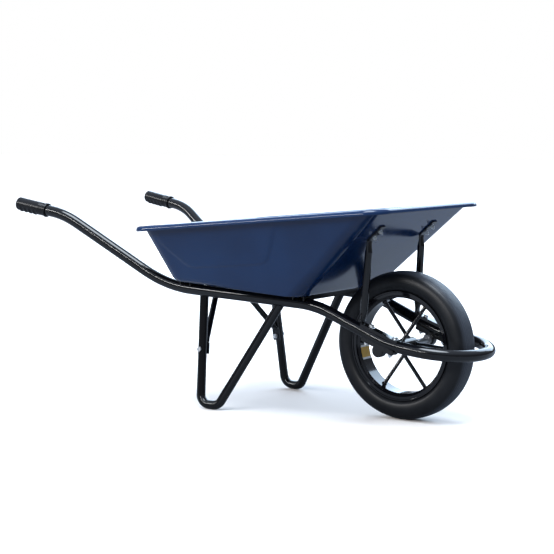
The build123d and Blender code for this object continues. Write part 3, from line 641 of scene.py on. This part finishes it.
def seat_mesh(name, places, axes):
    """A mesh of points that each carry the axis of what will stand there."""
    mesh = bpy.data.meshes.new(name)
    mesh.from_pydata([tuple(place) for place in places], [], [])
    attribute = mesh.attributes.new("axis", "FLOAT_VECTOR", "POINT")
    attribute.data.foreach_set("vector", [value for axis in axes for value in axis])
    return mesh


def grow(name, tree, base_mesh, material):
    """Runs a tree on a base mesh and keeps the result as a plain object."""
    worker = bpy.data.objects.new(name + "_worker", base_mesh)
    scene.collection.objects.link(worker)
    modifier = worker.modifiers.new("grow", "NODES")
    modifier.node_group = tree.group
    for identifier, value in tree.sizes.values():
        modifier[identifier] = value
    view = bpy.context.evaluated_depsgraph_get()
    mesh = bpy.data.meshes.new_from_object(worker.evaluated_get(view))
    worker.modifiers.remove(modifier)
    bpy.data.objects.remove(worker)
    mesh.name = name
    mesh.materials.clear()
    mesh.materials.append(material.material)
    mesh.polygons.foreach_set("use_smooth", [True] * len(mesh.polygons))
    made = bpy.data.objects.new(name, mesh)
    scene.collection.objects.link(made)
    print(name, "has", len(mesh.polygons), "faces")
    return made


# %% [markdown]
# ## The tray
# A real tray is one disc of sheet steel drawn in a press. Its floor, four
# leaning walls and rolled rim flow into each other, and each side has a wide
# raised panel that stiffens it. It is made here as rings: round the floor's
# rounded edge, up the wall and over the rim. Every ring has the same number of
# points, so the wall is a smooth ruled sheet like the pressed one.

# %% Size the tray
floor_middle = Vector(frame["record"]["mounts"][0]["pos_m"])
floor_up = Vector(frame["record"]["mounts"][0]["axis"])
sheet = 0.0015
floor_length = 0.434
floor_front_width = 0.440
floor_rear_width = 0.450
floor_corner = 0.042
floor_edge = 0.028
front_overhang = 0.263
rear_overhang = 0.049
front_wall_height = 0.2415
rear_wall_height = 0.173
rim_front_width = 0.523
rim_rear_width = 0.603
rim_corner = 0.046

floor_tilt = -math.atan2(floor_up.x, floor_up.z)
floor_along = Vector((math.cos(floor_tilt), 0, math.sin(floor_tilt)))
floor_run = floor_length / math.cos(floor_tilt)
floor_front = floor_middle - floor_up * sheet + floor_along * floor_run / 2
rim_front = floor_front + Vector((front_overhang, 0, front_wall_height))
rim_rear = floor_front + Vector((-floor_length - rear_overhang, 0, rear_wall_height))
rim_run = (rim_front - rim_rear).length
rim_along = (rim_front - rim_rear).normalized()
rim_up = Vector((-rim_along.z, 0, rim_along.x))
print("rim", round(rim_run, 3), "m long, sloping", round(math.degrees(math.asin(rim_along.z)), 1))

# %% Draw a rounded outline


def rounded_outline(length, front_width, rear_width, radius, grow_by=0.0, straight=90, arc=16):
    """Points round a tapered rectangle with round corners, from the front right corner."""
    corners = [
        np.array((0, -front_width / 2)),
        np.array((0, front_width / 2)),
        np.array((-length, rear_width / 2)),
        np.array((-length, -rear_width / 2)),
    ]
    arcs = []
    for i, corner in enumerate(corners):
        before = corners[i - 1] - corner
        after = corners[(i + 1) % 4] - corner
        before /= np.linalg.norm(before)
        after /= np.linalg.norm(after)
        half = math.acos(before @ after) / 2
        middle = (before + after) / np.linalg.norm(before + after)
        centre = corner + middle * radius / math.sin(half)
        start = corner + before * radius / math.tan(half) - centre
        stop = corner + after * radius / math.tan(half) - centre
        turn = math.pi - 2 * half
        steps = np.linspace(0, turn, arc + 1)[:, None]
        outward = (start * np.sin(turn - steps) + stop * np.sin(steps)) / math.sin(turn)
        arcs.append(centre + outward * (1 + grow_by / radius))
    points = []
    for i, bend in enumerate(arcs):
        points.extend(bend)
        following = arcs[(i + 1) % 4][0]
        for share in np.linspace(0, 1, straight + 1)[1:-1]:
            points.append(bend[-1] * (1 - share) + following * share)
    return np.array(points)


def raise_outline(outline, start, along):
    """Puts a flat outline in space: its first number runs along, its second across."""
    across = np.array((0.0, 1.0, 0.0))
    return np.array(start) + outline[:, :1] * np.array(along) + outline[:, 1:] * across


floor_outline = rounded_outline(floor_run, floor_front_width, floor_rear_width, floor_corner)
rim_outline = rounded_outline(rim_run, rim_front_width, rim_rear_width, rim_corner)
lip_outline = rounded_outline(rim_run, rim_front_width, rim_rear_width, rim_corner, 0.01)
floor_ring = raise_outline(floor_outline, floor_front, floor_along)
rim_ring = raise_outline(rim_outline, rim_front, rim_along)
lip_ring = raise_outline(lip_outline, rim_front, rim_along)
print("each ring has", len(floor_ring), "points")

# %% [markdown]
# ### The raised side panels
# Each panel is a four-sided field with round corners, pushed out between two
# and three millimetres. Its height follows the distance inside its outline, so its edge
# is a soft step, as a press tool leaves it. Near the rim it fades into the
# wall.

# %% Shape the panel
panel_height = 0.0026
panel_step = 0.007
panel_round = 0.008
panel_corners = [(0.885, 1.02), (0.905, 0.70), (0.800, 0.285), (0.338, 0.385), (0.405, 1.02)]


def panel_lift(back, up):
    """How far the wall is pushed out at a share back along the side and up it."""
    scale = np.array((floor_length + rear_overhang, rear_wall_height * 1.15))
    inside = np.full(back.shape, 1.0)
    count = len(panel_corners)
    for i in range(count):
        start = np.array(panel_corners[i]) * scale
        stop = np.array(panel_corners[(i + 1) % count]) * scale
        run = (stop - start) / np.linalg.norm(stop - start)
        distance = run[0] * (up * scale[1] - start[1]) - run[1] * (back * scale[0] - start[0])
        # A smooth minimum rounds the corners of the field.
        inside = -panel_round * np.logaddexp(-inside / panel_round, distance / panel_round)
    edge = np.clip(inside / panel_step + 0.5, 0, 1)
    step = edge * edge * (3 - 2 * edge)
    fade = np.clip((0.97 - up) / 0.22, 0, 1)
    return panel_height * step * fade * fade * (3 - 2 * fade)


test_back, test_up = np.array([0.6, 0.1]), np.array([0.6, 0.6])
test_lift = np.round(panel_lift(test_back, test_up) * 1000, 2)
print("panel lift in its middle and outside it, mm:", test_lift)

# %% [markdown]
# ### From the floor over the rim
# Going up, a ring starts on the flat floor, rolls round the floor's edge,
# climbs the wall and bends out into the rim. The rim rises a little, rounds
# over and curls down, which hides the raw edge and gives a hand a safe hold.

# %% Stack the tray's rings


def unit(vectors):
    return vectors / np.linalg.norm(vectors, axis=1)[:, None]


up_floor, up_rim = np.array(floor_up), np.array(rim_up)
wall = unit(rim_ring - floor_ring)
inward = -unit(wall - up_floor * (wall @ up_floor)[:, None])
half_angle = np.arccos((inward * wall).sum(axis=1)) / 2
edge_reach = (floor_edge / np.tan(half_angle))[:, None]
bend_centre = floor_ring + unit(inward + wall) * (floor_edge / np.sin(half_angle))[:, None]
edge_start = floor_ring + inward * edge_reach - bend_centre
edge_stop = floor_ring + wall * edge_reach - bend_centre
edge_turn = (math.pi - 2 * half_angle)[:, None]

rings = []
for share in np.linspace(0, 1, 9):
    swing = edge_start * np.sin(edge_turn * (1 - share)) + edge_stop * np.sin(edge_turn * share)
    rings.append(bend_centre + swing / np.sin(edge_turn))

wall_start = floor_ring + wall * edge_reach
wall_height = np.linalg.norm(rim_ring - floor_ring, axis=1)
lip_bend = 0.007
wall_stop = rim_ring - wall * lip_bend
outward = unit(lip_ring - rim_ring)
ring_tangent = unit(np.roll(rim_ring, -1, axis=0) - np.roll(rim_ring, 1, axis=0))
wall_outward = unit(np.cross(ring_tangent, wall))
wall_outward *= np.sign((wall_outward * outward).sum(axis=1))[:, None]
back_share = -floor_outline[:, 0] / floor_run
on_side = np.abs(rim_outline[:, 1]) > rim_front_width / 2 - rim_corner * 0.2
for share in np.linspace(0, 1, 54)[1:]:
    ring = wall_start * (1 - share) + wall_stop * share
    up_share = ((ring - floor_ring) * wall).sum(axis=1) / wall_height
    lift = panel_lift(back_share, up_share) * on_side
    rings.append(ring + wall_outward * lift[:, None])

lip_peak = 0.0018
lip_flat = 0.01315
lip_radius = 0.0088
for share in np.linspace(0, 1, 8)[1:]:
    start, middle = wall_stop, rim_ring + up_rim * 0.0006
    stop = rim_ring + outward * lip_bend + up_rim * lip_peak * 0.8
    rings.append(start * (1 - share) ** 2 + middle * 2 * share * (1 - share) + stop * share**2)
for angle in np.radians(np.linspace(90, -22, 12)):
    reach = lip_flat + lip_radius * math.cos(angle)
    height = lip_peak - lip_radius + lip_radius * math.sin(angle)
    rings.append(rim_ring + outward * reach + up_rim * height)
print("the tray has", len(rings), "rings")

# %% [markdown]
# ### The floor with its bolt holes
# Five countersunk bolts hold the tray to the bars. The floor is one flat face
# with a round hole for each, cut into triangles that run between the holes and
# the first ring.

# %% Make the floor and the tray


def bolt_heads(node):
    """The middle of each bolt's head on the floor, from the engineering model."""
    places = []
    for triangles in loose_parts(node):
        points = triangles.reshape(-1, 3)
        heights = points @ up_floor
        places.append(points[heights > heights.max() - 0.0004].mean(axis=0))
    return places


head_places = bolt_heads("tray_bolts") + bolt_heads("brace_centre_bolt")
hole_radius = 0.0082
hole_steps = 32
ring_size = len(floor_ring)
across_floor = np.array((0.0, 1.0, 0.0))
along_floor = np.array(floor_along)
floor_origin = np.array(floor_front)

flat_points = [Vector(((p - floor_origin) @ along_floor, p[1])) for p in rings[0]]
flat_faces = [list(range(ring_size))]
for place in head_places:
    start = len(flat_points)
    for step in range(hole_steps):
        angle = -2 * math.pi * step / hole_steps
        flat_points.append(
            Vector((
                (place - floor_origin) @ along_floor + hole_radius * math.cos(angle),
                place[1] + hole_radius * math.sin(angle),
            ))
        )
    flat_faces.append(list(range(start, start + hole_steps)))
cut = delaunay_2d_cdt(flat_points, [], flat_faces, 2, 1e-7)
floor_points = [floor_origin + along_floor * p.x + across_floor * p.y for p in cut[0]]

wall_points = np.concatenate(rings)
first = len(wall_points)
faces = ring_quads(len(rings), ring_size)
faces += [tuple(first + i for i in face) for face in cut[2]]
tray = make_object("tray_pan", list(wall_points) + floor_points, faces, tray_enamel)

work = bmesh.new()
work.from_mesh(tray.data)
bmesh.ops.remove_doubles(work, verts=work.verts, dist=2e-5)
bmesh.ops.recalc_face_normals(work, faces=work.faces)
floor_face = min(work.faces, key=lambda f: (f.calc_center_median() - floor_middle).length)
if floor_face.normal.dot(floor_up) > 0:
    bmesh.ops.reverse_faces(work, faces=work.faces)
work.to_mesh(tray.data)
work.free()
tray.data.polygons.foreach_set("use_smooth", [True] * len(tray.data.polygons))
wall_thickness = tray.modifiers.new("sheet", "SOLIDIFY")
wall_thickness.thickness = sheet
wall_thickness.offset = -1
wall_thickness.use_even_offset = True
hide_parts("tray")
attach(tray, "frame")
print("tray has", len(tray.data.polygons), "faces before it gets its thickness")

# %% [markdown]
# ## The tyre
# The tyre is a moulded carcass: smooth round sidewalls
# and a tread with narrow grooves running round it. A section swept round
# the wheel is the rule, so a node tree does it. The grooves are then pressed
# in by a wave that runs across the tread.

# %% Draw the tyre's section
tread_half = 0.0300
path_radius = 0.150


def smooth_line(knots, steps):
    """Catmull-Rom points through the knots."""
    points = []
    ends = [2 * knots[0] - knots[1], *knots, 2 * knots[-1] - knots[-2]]
    for a, b, c, d in zip(ends, ends[1:], ends[2:], ends[3:]):
        for t in np.linspace(0, 1, steps, endpoint=False):
            points.append(
                0.5 * (2 * b + (c - a) * t + (2 * a - 5 * b + 4 * c - d) * t**2
                       + (3 * b - a - 3 * c + d) * t**3)
            )
    points.append(knots[-1])
    return points


outer_half = [
    np.array((across_tread, wheel_radius - drop)) for across_tread, drop in (
        (0.0, 0.0002), (0.0090, 0.0004), (0.0180, 0.0014), (0.0255, 0.0036), (0.0320, 0.0078),
        (0.0372, 0.0148), (0.0402, 0.0240), (0.0408, 0.0330), (0.0384, 0.0430),
        (0.0338, 0.0495), (0.0306, 0.0520),
    )
]
inner_half = [
    np.array(k) for k in (
        (0.0300, 0.1384), (0.0220, 0.1384), (0.0240, 0.1450), (0.0325, 0.1570), (0.0340, 0.1680),
        (0.0290, 0.1810), (0.0150, 0.1895), (0.0, 0.1905),
    )
]
half_section = smooth_line(outer_half, 9) + smooth_line(inner_half, 3)
section = [(y, r) for y, r in half_section]
section += [(-y, r) for y, r in reversed(half_section[1:-1])]
section_points = [(r - path_radius, y, 0.0) for y, r in reversed(section)]
section_mesh = bpy.data.meshes.new("tyre_section")
section_mesh.from_pydata(
    section_points, [(i, (i + 1) % len(section_points)) for i in range(len(section_points))], []
)
print("section has", len(section_points), "points")

# %% Sweep it and press in the grooves
tyre_tree = Tree(
    "tyre_tree",
    {
        "Path radius": path_radius,
        "Steps round": 224,
        "Tread half width": tread_half,
        "Groove spacing": 0.0066,
        "Groove depth": 0.0011,
        "Axle X": axle.x,
        "Axle Z": axle.z,
        "Tread inner radius": wheel_radius - 0.0095,
    },
)
circle = tyre_tree.add("GeometryNodeCurvePrimitiveCircle")
tyre_tree.join(tyre_tree.size("Path radius"), circle.inputs["Radius"])
tyre_tree.join(tyre_tree.size("Steps round"), circle.inputs["Resolution"])
stand_up = tyre_tree.add("GeometryNodeTransform")
stand_up.inputs["Rotation"].default_value = (math.pi / 2, 0, 0)
tyre_tree.join(circle.outputs[0], stand_up.inputs[0])
profile = tyre_tree.add("GeometryNodeMeshToCurve")
tyre_tree.join(tyre_tree.start.outputs["Geometry"], profile.inputs[0])
sweep = tyre_tree.add("GeometryNodeCurveToMesh")
tyre_tree.join(stand_up.outputs[0], sweep.inputs["Curve"])
tyre_tree.join(profile.outputs[0], sweep.inputs["Profile Curve"])

calc, size = tyre_tree.maths, tyre_tree.size
_, ahead_of, aside, above_it = tyre_tree.position()
away = calc("SQRT", calc(
    "ADD",
    calc("MULTIPLY", ahead_of, ahead_of),
    calc("MULTIPLY", above_it, above_it),
))
wave = calc("COSINE", calc(
    "MULTIPLY", calc("DIVIDE", aside, size("Groove spacing")), 2 * math.pi
))
groove = calc("POWER", calc("MAXIMUM", wave, 0.0), 6.0)
on_tread = calc(
    "LESS_THAN", calc("ABSOLUTE", aside), size("Tread half width")
)
outside = calc("GREATER_THAN", away, size("Tread inner radius"))
press = calc("MULTIPLY", calc("MULTIPLY", groove, on_tread), outside)
depth = calc("MULTIPLY", press, size("Groove depth"))
keep = calc("SUBTRACT", 1.0, calc("DIVIDE", depth, away))
grooved = tyre_tree.move_points(
    sweep.outputs[0],
    calc("ADD", calc("MULTIPLY", ahead_of, keep), size("Axle X")),
    aside,
    calc("ADD", calc("MULTIPLY", above_it, keep), size("Axle Z")),
)
tyre_tree.finish(grooved, tyre_rubber)
tyre = grow("tyre_carcass", tyre_tree, section_mesh, tyre_rubber)
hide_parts("tyre")
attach(tyre, "wheel")

# %% [markdown]
# ## Fasteners
# A hexagon head is a slice of hexagon bar whose corners a lathe has turned
# away, and the thread is rolled on the shank's end. One node tree follows
# that rule: it takes two plain cylinders and limits the radius of the first
# by six flats and a chamfer, and that of the second by the thread. It places a
# copy at every seat, read from the engineering model with the way it points.
# Nuts and washers are made solid here, and the shank runs on through them.

# %% Grow a fastener at each seat
head_sides = 72
shank_sides = 28
shank_overlap = 0.0001
thread_length = 0.022


def seats(node, bolt):
    """Where the fasteners of a node sit, the way their heads face, and their lengths."""
    found = []
    for triangles in loose_parts(node):
        centre, axis = main_axis(triangles, longest=bolt)
        offsets = triangles.reshape(-1, 3) - np.array(centre)
        along = offsets @ np.array(axis)
        away = np.linalg.norm(offsets - along[:, None] * np.array(axis), axis=1)
        wide = along[away > away.max() * 0.8]
        if bolt and wide.mean() < (along.max() + along.min()) / 2:
            axis, along, wide = -axis, -along, -wide
        found.append((centre + axis * float(wide.min()), axis, float(wide.max() - wide.min()),
                      float(wide.min() - along.min())))
    return found


def fastener_tree(name, across, head, shank, length, pitch, sides, material):
    """A turned head, flatted if it has sides, on a shank with a rolled thread."""
    tree = Tree(
        name,
        {
            "Across flats": across, "Head height": head, "Flats": sides, "Head steps": 10,
            "Chamfer": across * 0.055, "Chamfer slope": 1.7, "Shank radius": shank,
            "Shank length": length, "Thread pitch": pitch, "Thread depth": pitch * 0.5,
            "Thread length": min(length, thread_length), "Shank steps": int(length / pitch * 5) + 2,
        },
    )
    calc, size = tree.maths, tree.size
    half = calc("DIVIDE", size("Across flats"), 2.0)

    def place(geometry, radius_rule, lift):
        _, x, y, z = tree.position()
        angle = calc("ARCTAN2", y, x)
        radius = radius_rule(angle, z)
        return tree.move_points(
            geometry,
            calc("MULTIPLY", calc("COSINE", angle), radius),
            calc("MULTIPLY", calc("SINE", angle), radius),
            calc("ADD", z, lift),
        )

    def head_radius(angle, z):
        step = calc("DIVIDE", 2 * math.pi, size("Flats"))
        turn = calc("SUBTRACT", calc("FLOORED_MODULO", angle, step),
                          calc("DIVIDE", step, 2.0))
        flat = calc("DIVIDE", half, calc("COSINE", turn))
        corner = calc("DIVIDE", half, calc("COSINE", calc("DIVIDE", step, 2.0)))
        free = calc("SUBTRACT", calc("DIVIDE", size("Head height"), 2.0),
                          size("Chamfer"))
        past = calc("MAXIMUM", calc("SUBTRACT", calc("ABSOLUTE", z), free), 0.0)
        cut_back = calc("MULTIPLY", past, size("Chamfer slope"))
        turned = calc("SUBTRACT", corner, cut_back)
        return calc("MINIMUM", flat, turned)

    def shank_radius(angle, z):
        wave = calc("COSINE", calc(
            "MULTIPLY", calc("DIVIDE", z, size("Thread pitch")), 2 * math.pi))
        ripple = calc("MULTIPLY", calc("SUBTRACT", 1.0, wave),
                            calc("DIVIDE", size("Thread depth"), 2.0))
        edge = calc("SUBTRACT", size("Thread length"),
                          calc("DIVIDE", size("Shank length"), 2.0))
        threaded = calc("LESS_THAN", z, edge)
        depth = calc("MULTIPLY", ripple, threaded)
        return calc("SUBTRACT", size("Shank radius"), depth)

    blank = tree.cylinder(head_sides, size("Head steps"), half, size("Head height"))
    lift = calc("DIVIDE", size("Head height"), 2.0)
    shapes = [place(blank, head_radius, lift)]
    if length > 0:
        rod = tree.cylinder(shank_sides, size("Shank steps"), size("Shank radius"),
                            size("Shank length"))
        drop = calc("SUBTRACT", shank_overlap, calc("DIVIDE", size("Shank length"), 2.0))
        shapes.append(place(rod, shank_radius, drop))
    both = tree.add("GeometryNodeJoinGeometry")
    for shape in shapes:
        tree.join(shape, both.inputs[0])
    tree.finish(tree.copies(both.outputs[0]), material)
    return tree


def fasten(node, across, shank, pitch, sides=6):
    """Replaces a node of bolts, nuts or washers by grown ones."""
    found = seats(node, shank > 0)
    points = seat_mesh(node + "_seats", [f[0] for f in found], [f[1] for f in found])
    head, length = found[0][2], found[0][3] if shank > 0 else 0.0
    tree = fastener_tree(node + "_tree", across, head, shank, length, pitch, sides, zinc_plate)
    made = grow(node + "_made", tree, points, zinc_plate)
    made.data.set_sharp_from_angle(angle=math.radians(25))
    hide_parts(node)
    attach(made, "frame")


bolt_pitch = 0.00125
across_flats = 0.013
small_across_flats = 0.010
for bolts in ("bracket_bolts", "leg_bolts"):
    fasten(bolts, across_flats, 0.004, bolt_pitch)
for nuts in ("bracket_nuts", "leg_nuts", "tray_nuts", "brace_centre_nut"):
    fasten(nuts, across_flats, 0.0, bolt_pitch)
fasten("strut_nuts", small_across_flats, 0.0, bolt_pitch)
fasten("bracket_washers", 0.018, 0.0, bolt_pitch, sides=head_sides)
fasten("strut_washers", 0.013, 0.0, bolt_pitch, sides=head_sides)

# %% [markdown]
# ## Spokes
# The wheel has six round bars. Each is welded to one end of the hub and to
# the middle of the rim, so each bar ends in a small bead of weld. A node tree
# gives the bar its radius from the distance to its ends: the bead swells and
# is slightly lumpy, and the bar between is straight.

# %% Grow the spokes
spoke_sides = 32
spoke_seats = []
for number in range(1, 7):
    solid = loose_parts(f"spoke_{number}")[0]
    centre, axis = main_axis(solid)
    if axis.dot(centre - axle) < 0:
        axis = -axis
    reach = (solid.reshape(-1, 3) - np.array(centre)) @ np.array(axis)
    middle = float((reach.max() + reach.min()) / 2)
    spoke_seats.append((centre + axis * middle, axis, float(np.ptp(reach))))
spoke_tree = Tree(
    "spoke_tree",
    {"Bar radius": 0.00525, "Length": spoke_seats[0][2], "Weld height": 0.0024,
     "Weld length": 0.005, "Weld lump": 0.0008, "Steps": 150},
)
bar = spoke_tree.cylinder(spoke_sides, spoke_tree.size("Steps"), spoke_tree.size("Bar radius"),
                          spoke_tree.size("Length"))
calc, size = spoke_tree.maths, spoke_tree.size
where, bar_x, bar_y, bar_z = spoke_tree.position()
to_end = calc(
    "SUBTRACT", calc("DIVIDE", size("Length"), 2.0),
    calc("ABSOLUTE", bar_z),
)
near = calc("MAXIMUM", calc(
    "SUBTRACT", 1.0, calc("DIVIDE", to_end, size("Weld length"))), 0.0)
lumps = spoke_tree.add("ShaderNodeTexNoise")
lumps.inputs["Scale"].default_value = 320.0
spoke_tree.join(where, lumps.inputs["Vector"])
swell = calc("ADD", size("Weld height"), calc(
    "MULTIPLY", lumps.outputs["Fac"], size("Weld lump")))
bead = calc("MULTIPLY", calc("SQRT", near), swell)
swollen = calc("DIVIDE", bead, size("Bar radius"))
wider = calc("ADD", 1.0, swollen)
welded = spoke_tree.move_points(
    bar,
    calc("MULTIPLY", bar_x, wider),
    calc("MULTIPLY", bar_y, wider),
    bar_z,
)
spoke_tree.finish(spoke_tree.copies(welded), wheel_enamel)
spoke_points = seat_mesh("spoke_points", [s[0] for s in spoke_seats], [s[1] for s in spoke_seats])
spokes = grow("spokes", spoke_tree, spoke_points, wheel_enamel)
spokes.data.set_sharp_from_angle(angle=math.radians(40))
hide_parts(*[f"spoke_{number}" for number in range(1, 7)])
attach(spokes, "wheel")

# %% [markdown]
# ## Grips
# A grip is a rubber sleeve moulded closed at one end. Its underside has four
# finger ridges, its open end a collar that stops the thumb, and rings of fine
# ribs run round it near the collar. It is a stack of rings along the tube,
# whose radius follows those features.

# %% Shape the grips
grip_steps = 240
grip_sides = 64
grip_cap = 0.004
collar_length = 0.007
end_round = 0.0042
ridge_pitch = 0.0165
rib_pitch = 0.0026


def smooth_step(low, high, value):
    share = min(max((value - low) / (high - low), 0.0), 1.0)
    return share * share * (3 - 2 * share)


for side in ("right", "left"):
    solid = loose_parts(f"{side}_grip")[0]
    centre, axis = main_axis(solid)
    if axis.x > 0:
        axis = -axis
    reach = (solid.reshape(-1, 3) - np.array(centre)) @ np.array(axis)
    mouth, closed_end = float(reach.min()), float(reach.max())
    grip_length = closed_end - mouth
    up = (Vector((0, 0, 1)) - axis * axis.z).normalized()
    across = up.cross(axis)
    outer, bore = 0.0189, 0.0161

    def outer_radius(along, turn):
        """The radius at a distance from the mouth and a turn from the top."""
        if along < collar_length:
            edge = min(along, collar_length - along) / (collar_length / 2)
            return 0.0194 + 0.0015 * math.sqrt(max(edge, 0.0))
        radius = outer - 0.0010 * (1 - smooth_step(collar_length, 0.010, along))
        under = smooth_step(0.15, 0.75, -math.cos(turn))
        zone = smooth_step(0.030, 0.036, along) * (1 - smooth_step(0.098, 0.102, along))
        ridge = 0.5 + 0.5 * math.cos(2 * math.pi * (along - 0.042) / ridge_pitch)
        radius += under * zone * (0.0046 * ridge - 0.0022)
        ribs = smooth_step(0.011, 0.013, along) * (1 - smooth_step(0.026, 0.028, along))
        radius -= 0.00055 * ribs * (0.5 + 0.5 * math.cos(2 * math.pi * along / rib_pitch))
        left = max(grip_length - along, 0.0)
        if left < end_round:
            radius -= end_round - math.sqrt(max(end_round**2 - (end_round - left) ** 2, 0.0))
        return radius

    turns = [2 * math.pi * k / grip_sides for k in range(grip_sides)]
    inner_end = grip_length - grip_cap
    stack = [[place] * grip_sides for place in ((inner_end, 0.004), (inner_end, bore), (0.0, bore))]
    for step in range(grip_steps + 1):
        along = grip_length * step / grip_steps
        stack.append([(along, outer_radius(along, turn)) for turn in turns])
    stack.append([(grip_length, 0.006)] * grip_sides)
    points = []
    for ring in stack:
        for turn, (along, radius) in zip(turns, ring):
            away = up * math.cos(turn) + across * math.sin(turn)
            points.append(centre + axis * (mouth + along) + away * radius)
    faces = ring_quads(len(stack), grip_sides)
    faces.append(tuple(reversed(range(grip_sides))))
    last = (len(stack) - 1) * grip_sides
    faces.append(tuple(last + k for k in range(grip_sides)))
    grip = make_object(f"{side}_grip_sleeve", points, faces, grip_rubber)
    face_outward(grip)
    grip.data.set_sharp_from_angle(angle=math.radians(50))
    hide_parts(f"{side}_grip")
    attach(grip, "frame")
print("two grips,", grip_length, "m long")

# %% [markdown]
# ## Dress the pieces that keep their engineering shape
# Tubes, bars, housings and the small turned parts already have the right
# shape, so they keep their own mesh and only get a finish.

# %% Give every remaining piece its finish
dressed = {
    frame_enamel: (
        "frame_tube right_leg left_leg leg_brace right_front_strut left_front_strut"
    ),
    bracket_enamel: (
        "front_cross_bar rear_cross_bar right_bearing_housing left_bearing_housing"
    ),
    bush_nylon: "right_axle_bush left_axle_bush",
    zinc_plate: "tray_bolts brace_centre_bolt strut_bolts",
    tube_rubber: "inner_tube",
    wheel_enamel: "rim hub",
    bare_steel: "axle right_axle_collar left_axle_collar",
    valve_brass: "valve_stem",
    valve_plastic: "valve_cap",
    label_film: "rim_label",
}
for finish, nodes in dressed.items():
    for node in nodes.split():
        part = frame["nodes"][node]
        part.data.materials.clear()
        part.data.materials.append(finish.material)
print(sum(len(nodes.split()) for nodes in dressed.values()), "pieces dressed")

# %% [markdown]
# ## Print the sizes
# The dressed barrow must fill the same box as the engineering model, so both boxes are printed side
# by side.

# %% Write both boxes and finish
visual_box = [list(corner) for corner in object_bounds()]
for label, values in (("CAD", cad_box), ("visual", visual_box)):
    print(label, [[round(v, 4) for v in corner] for corner in values])
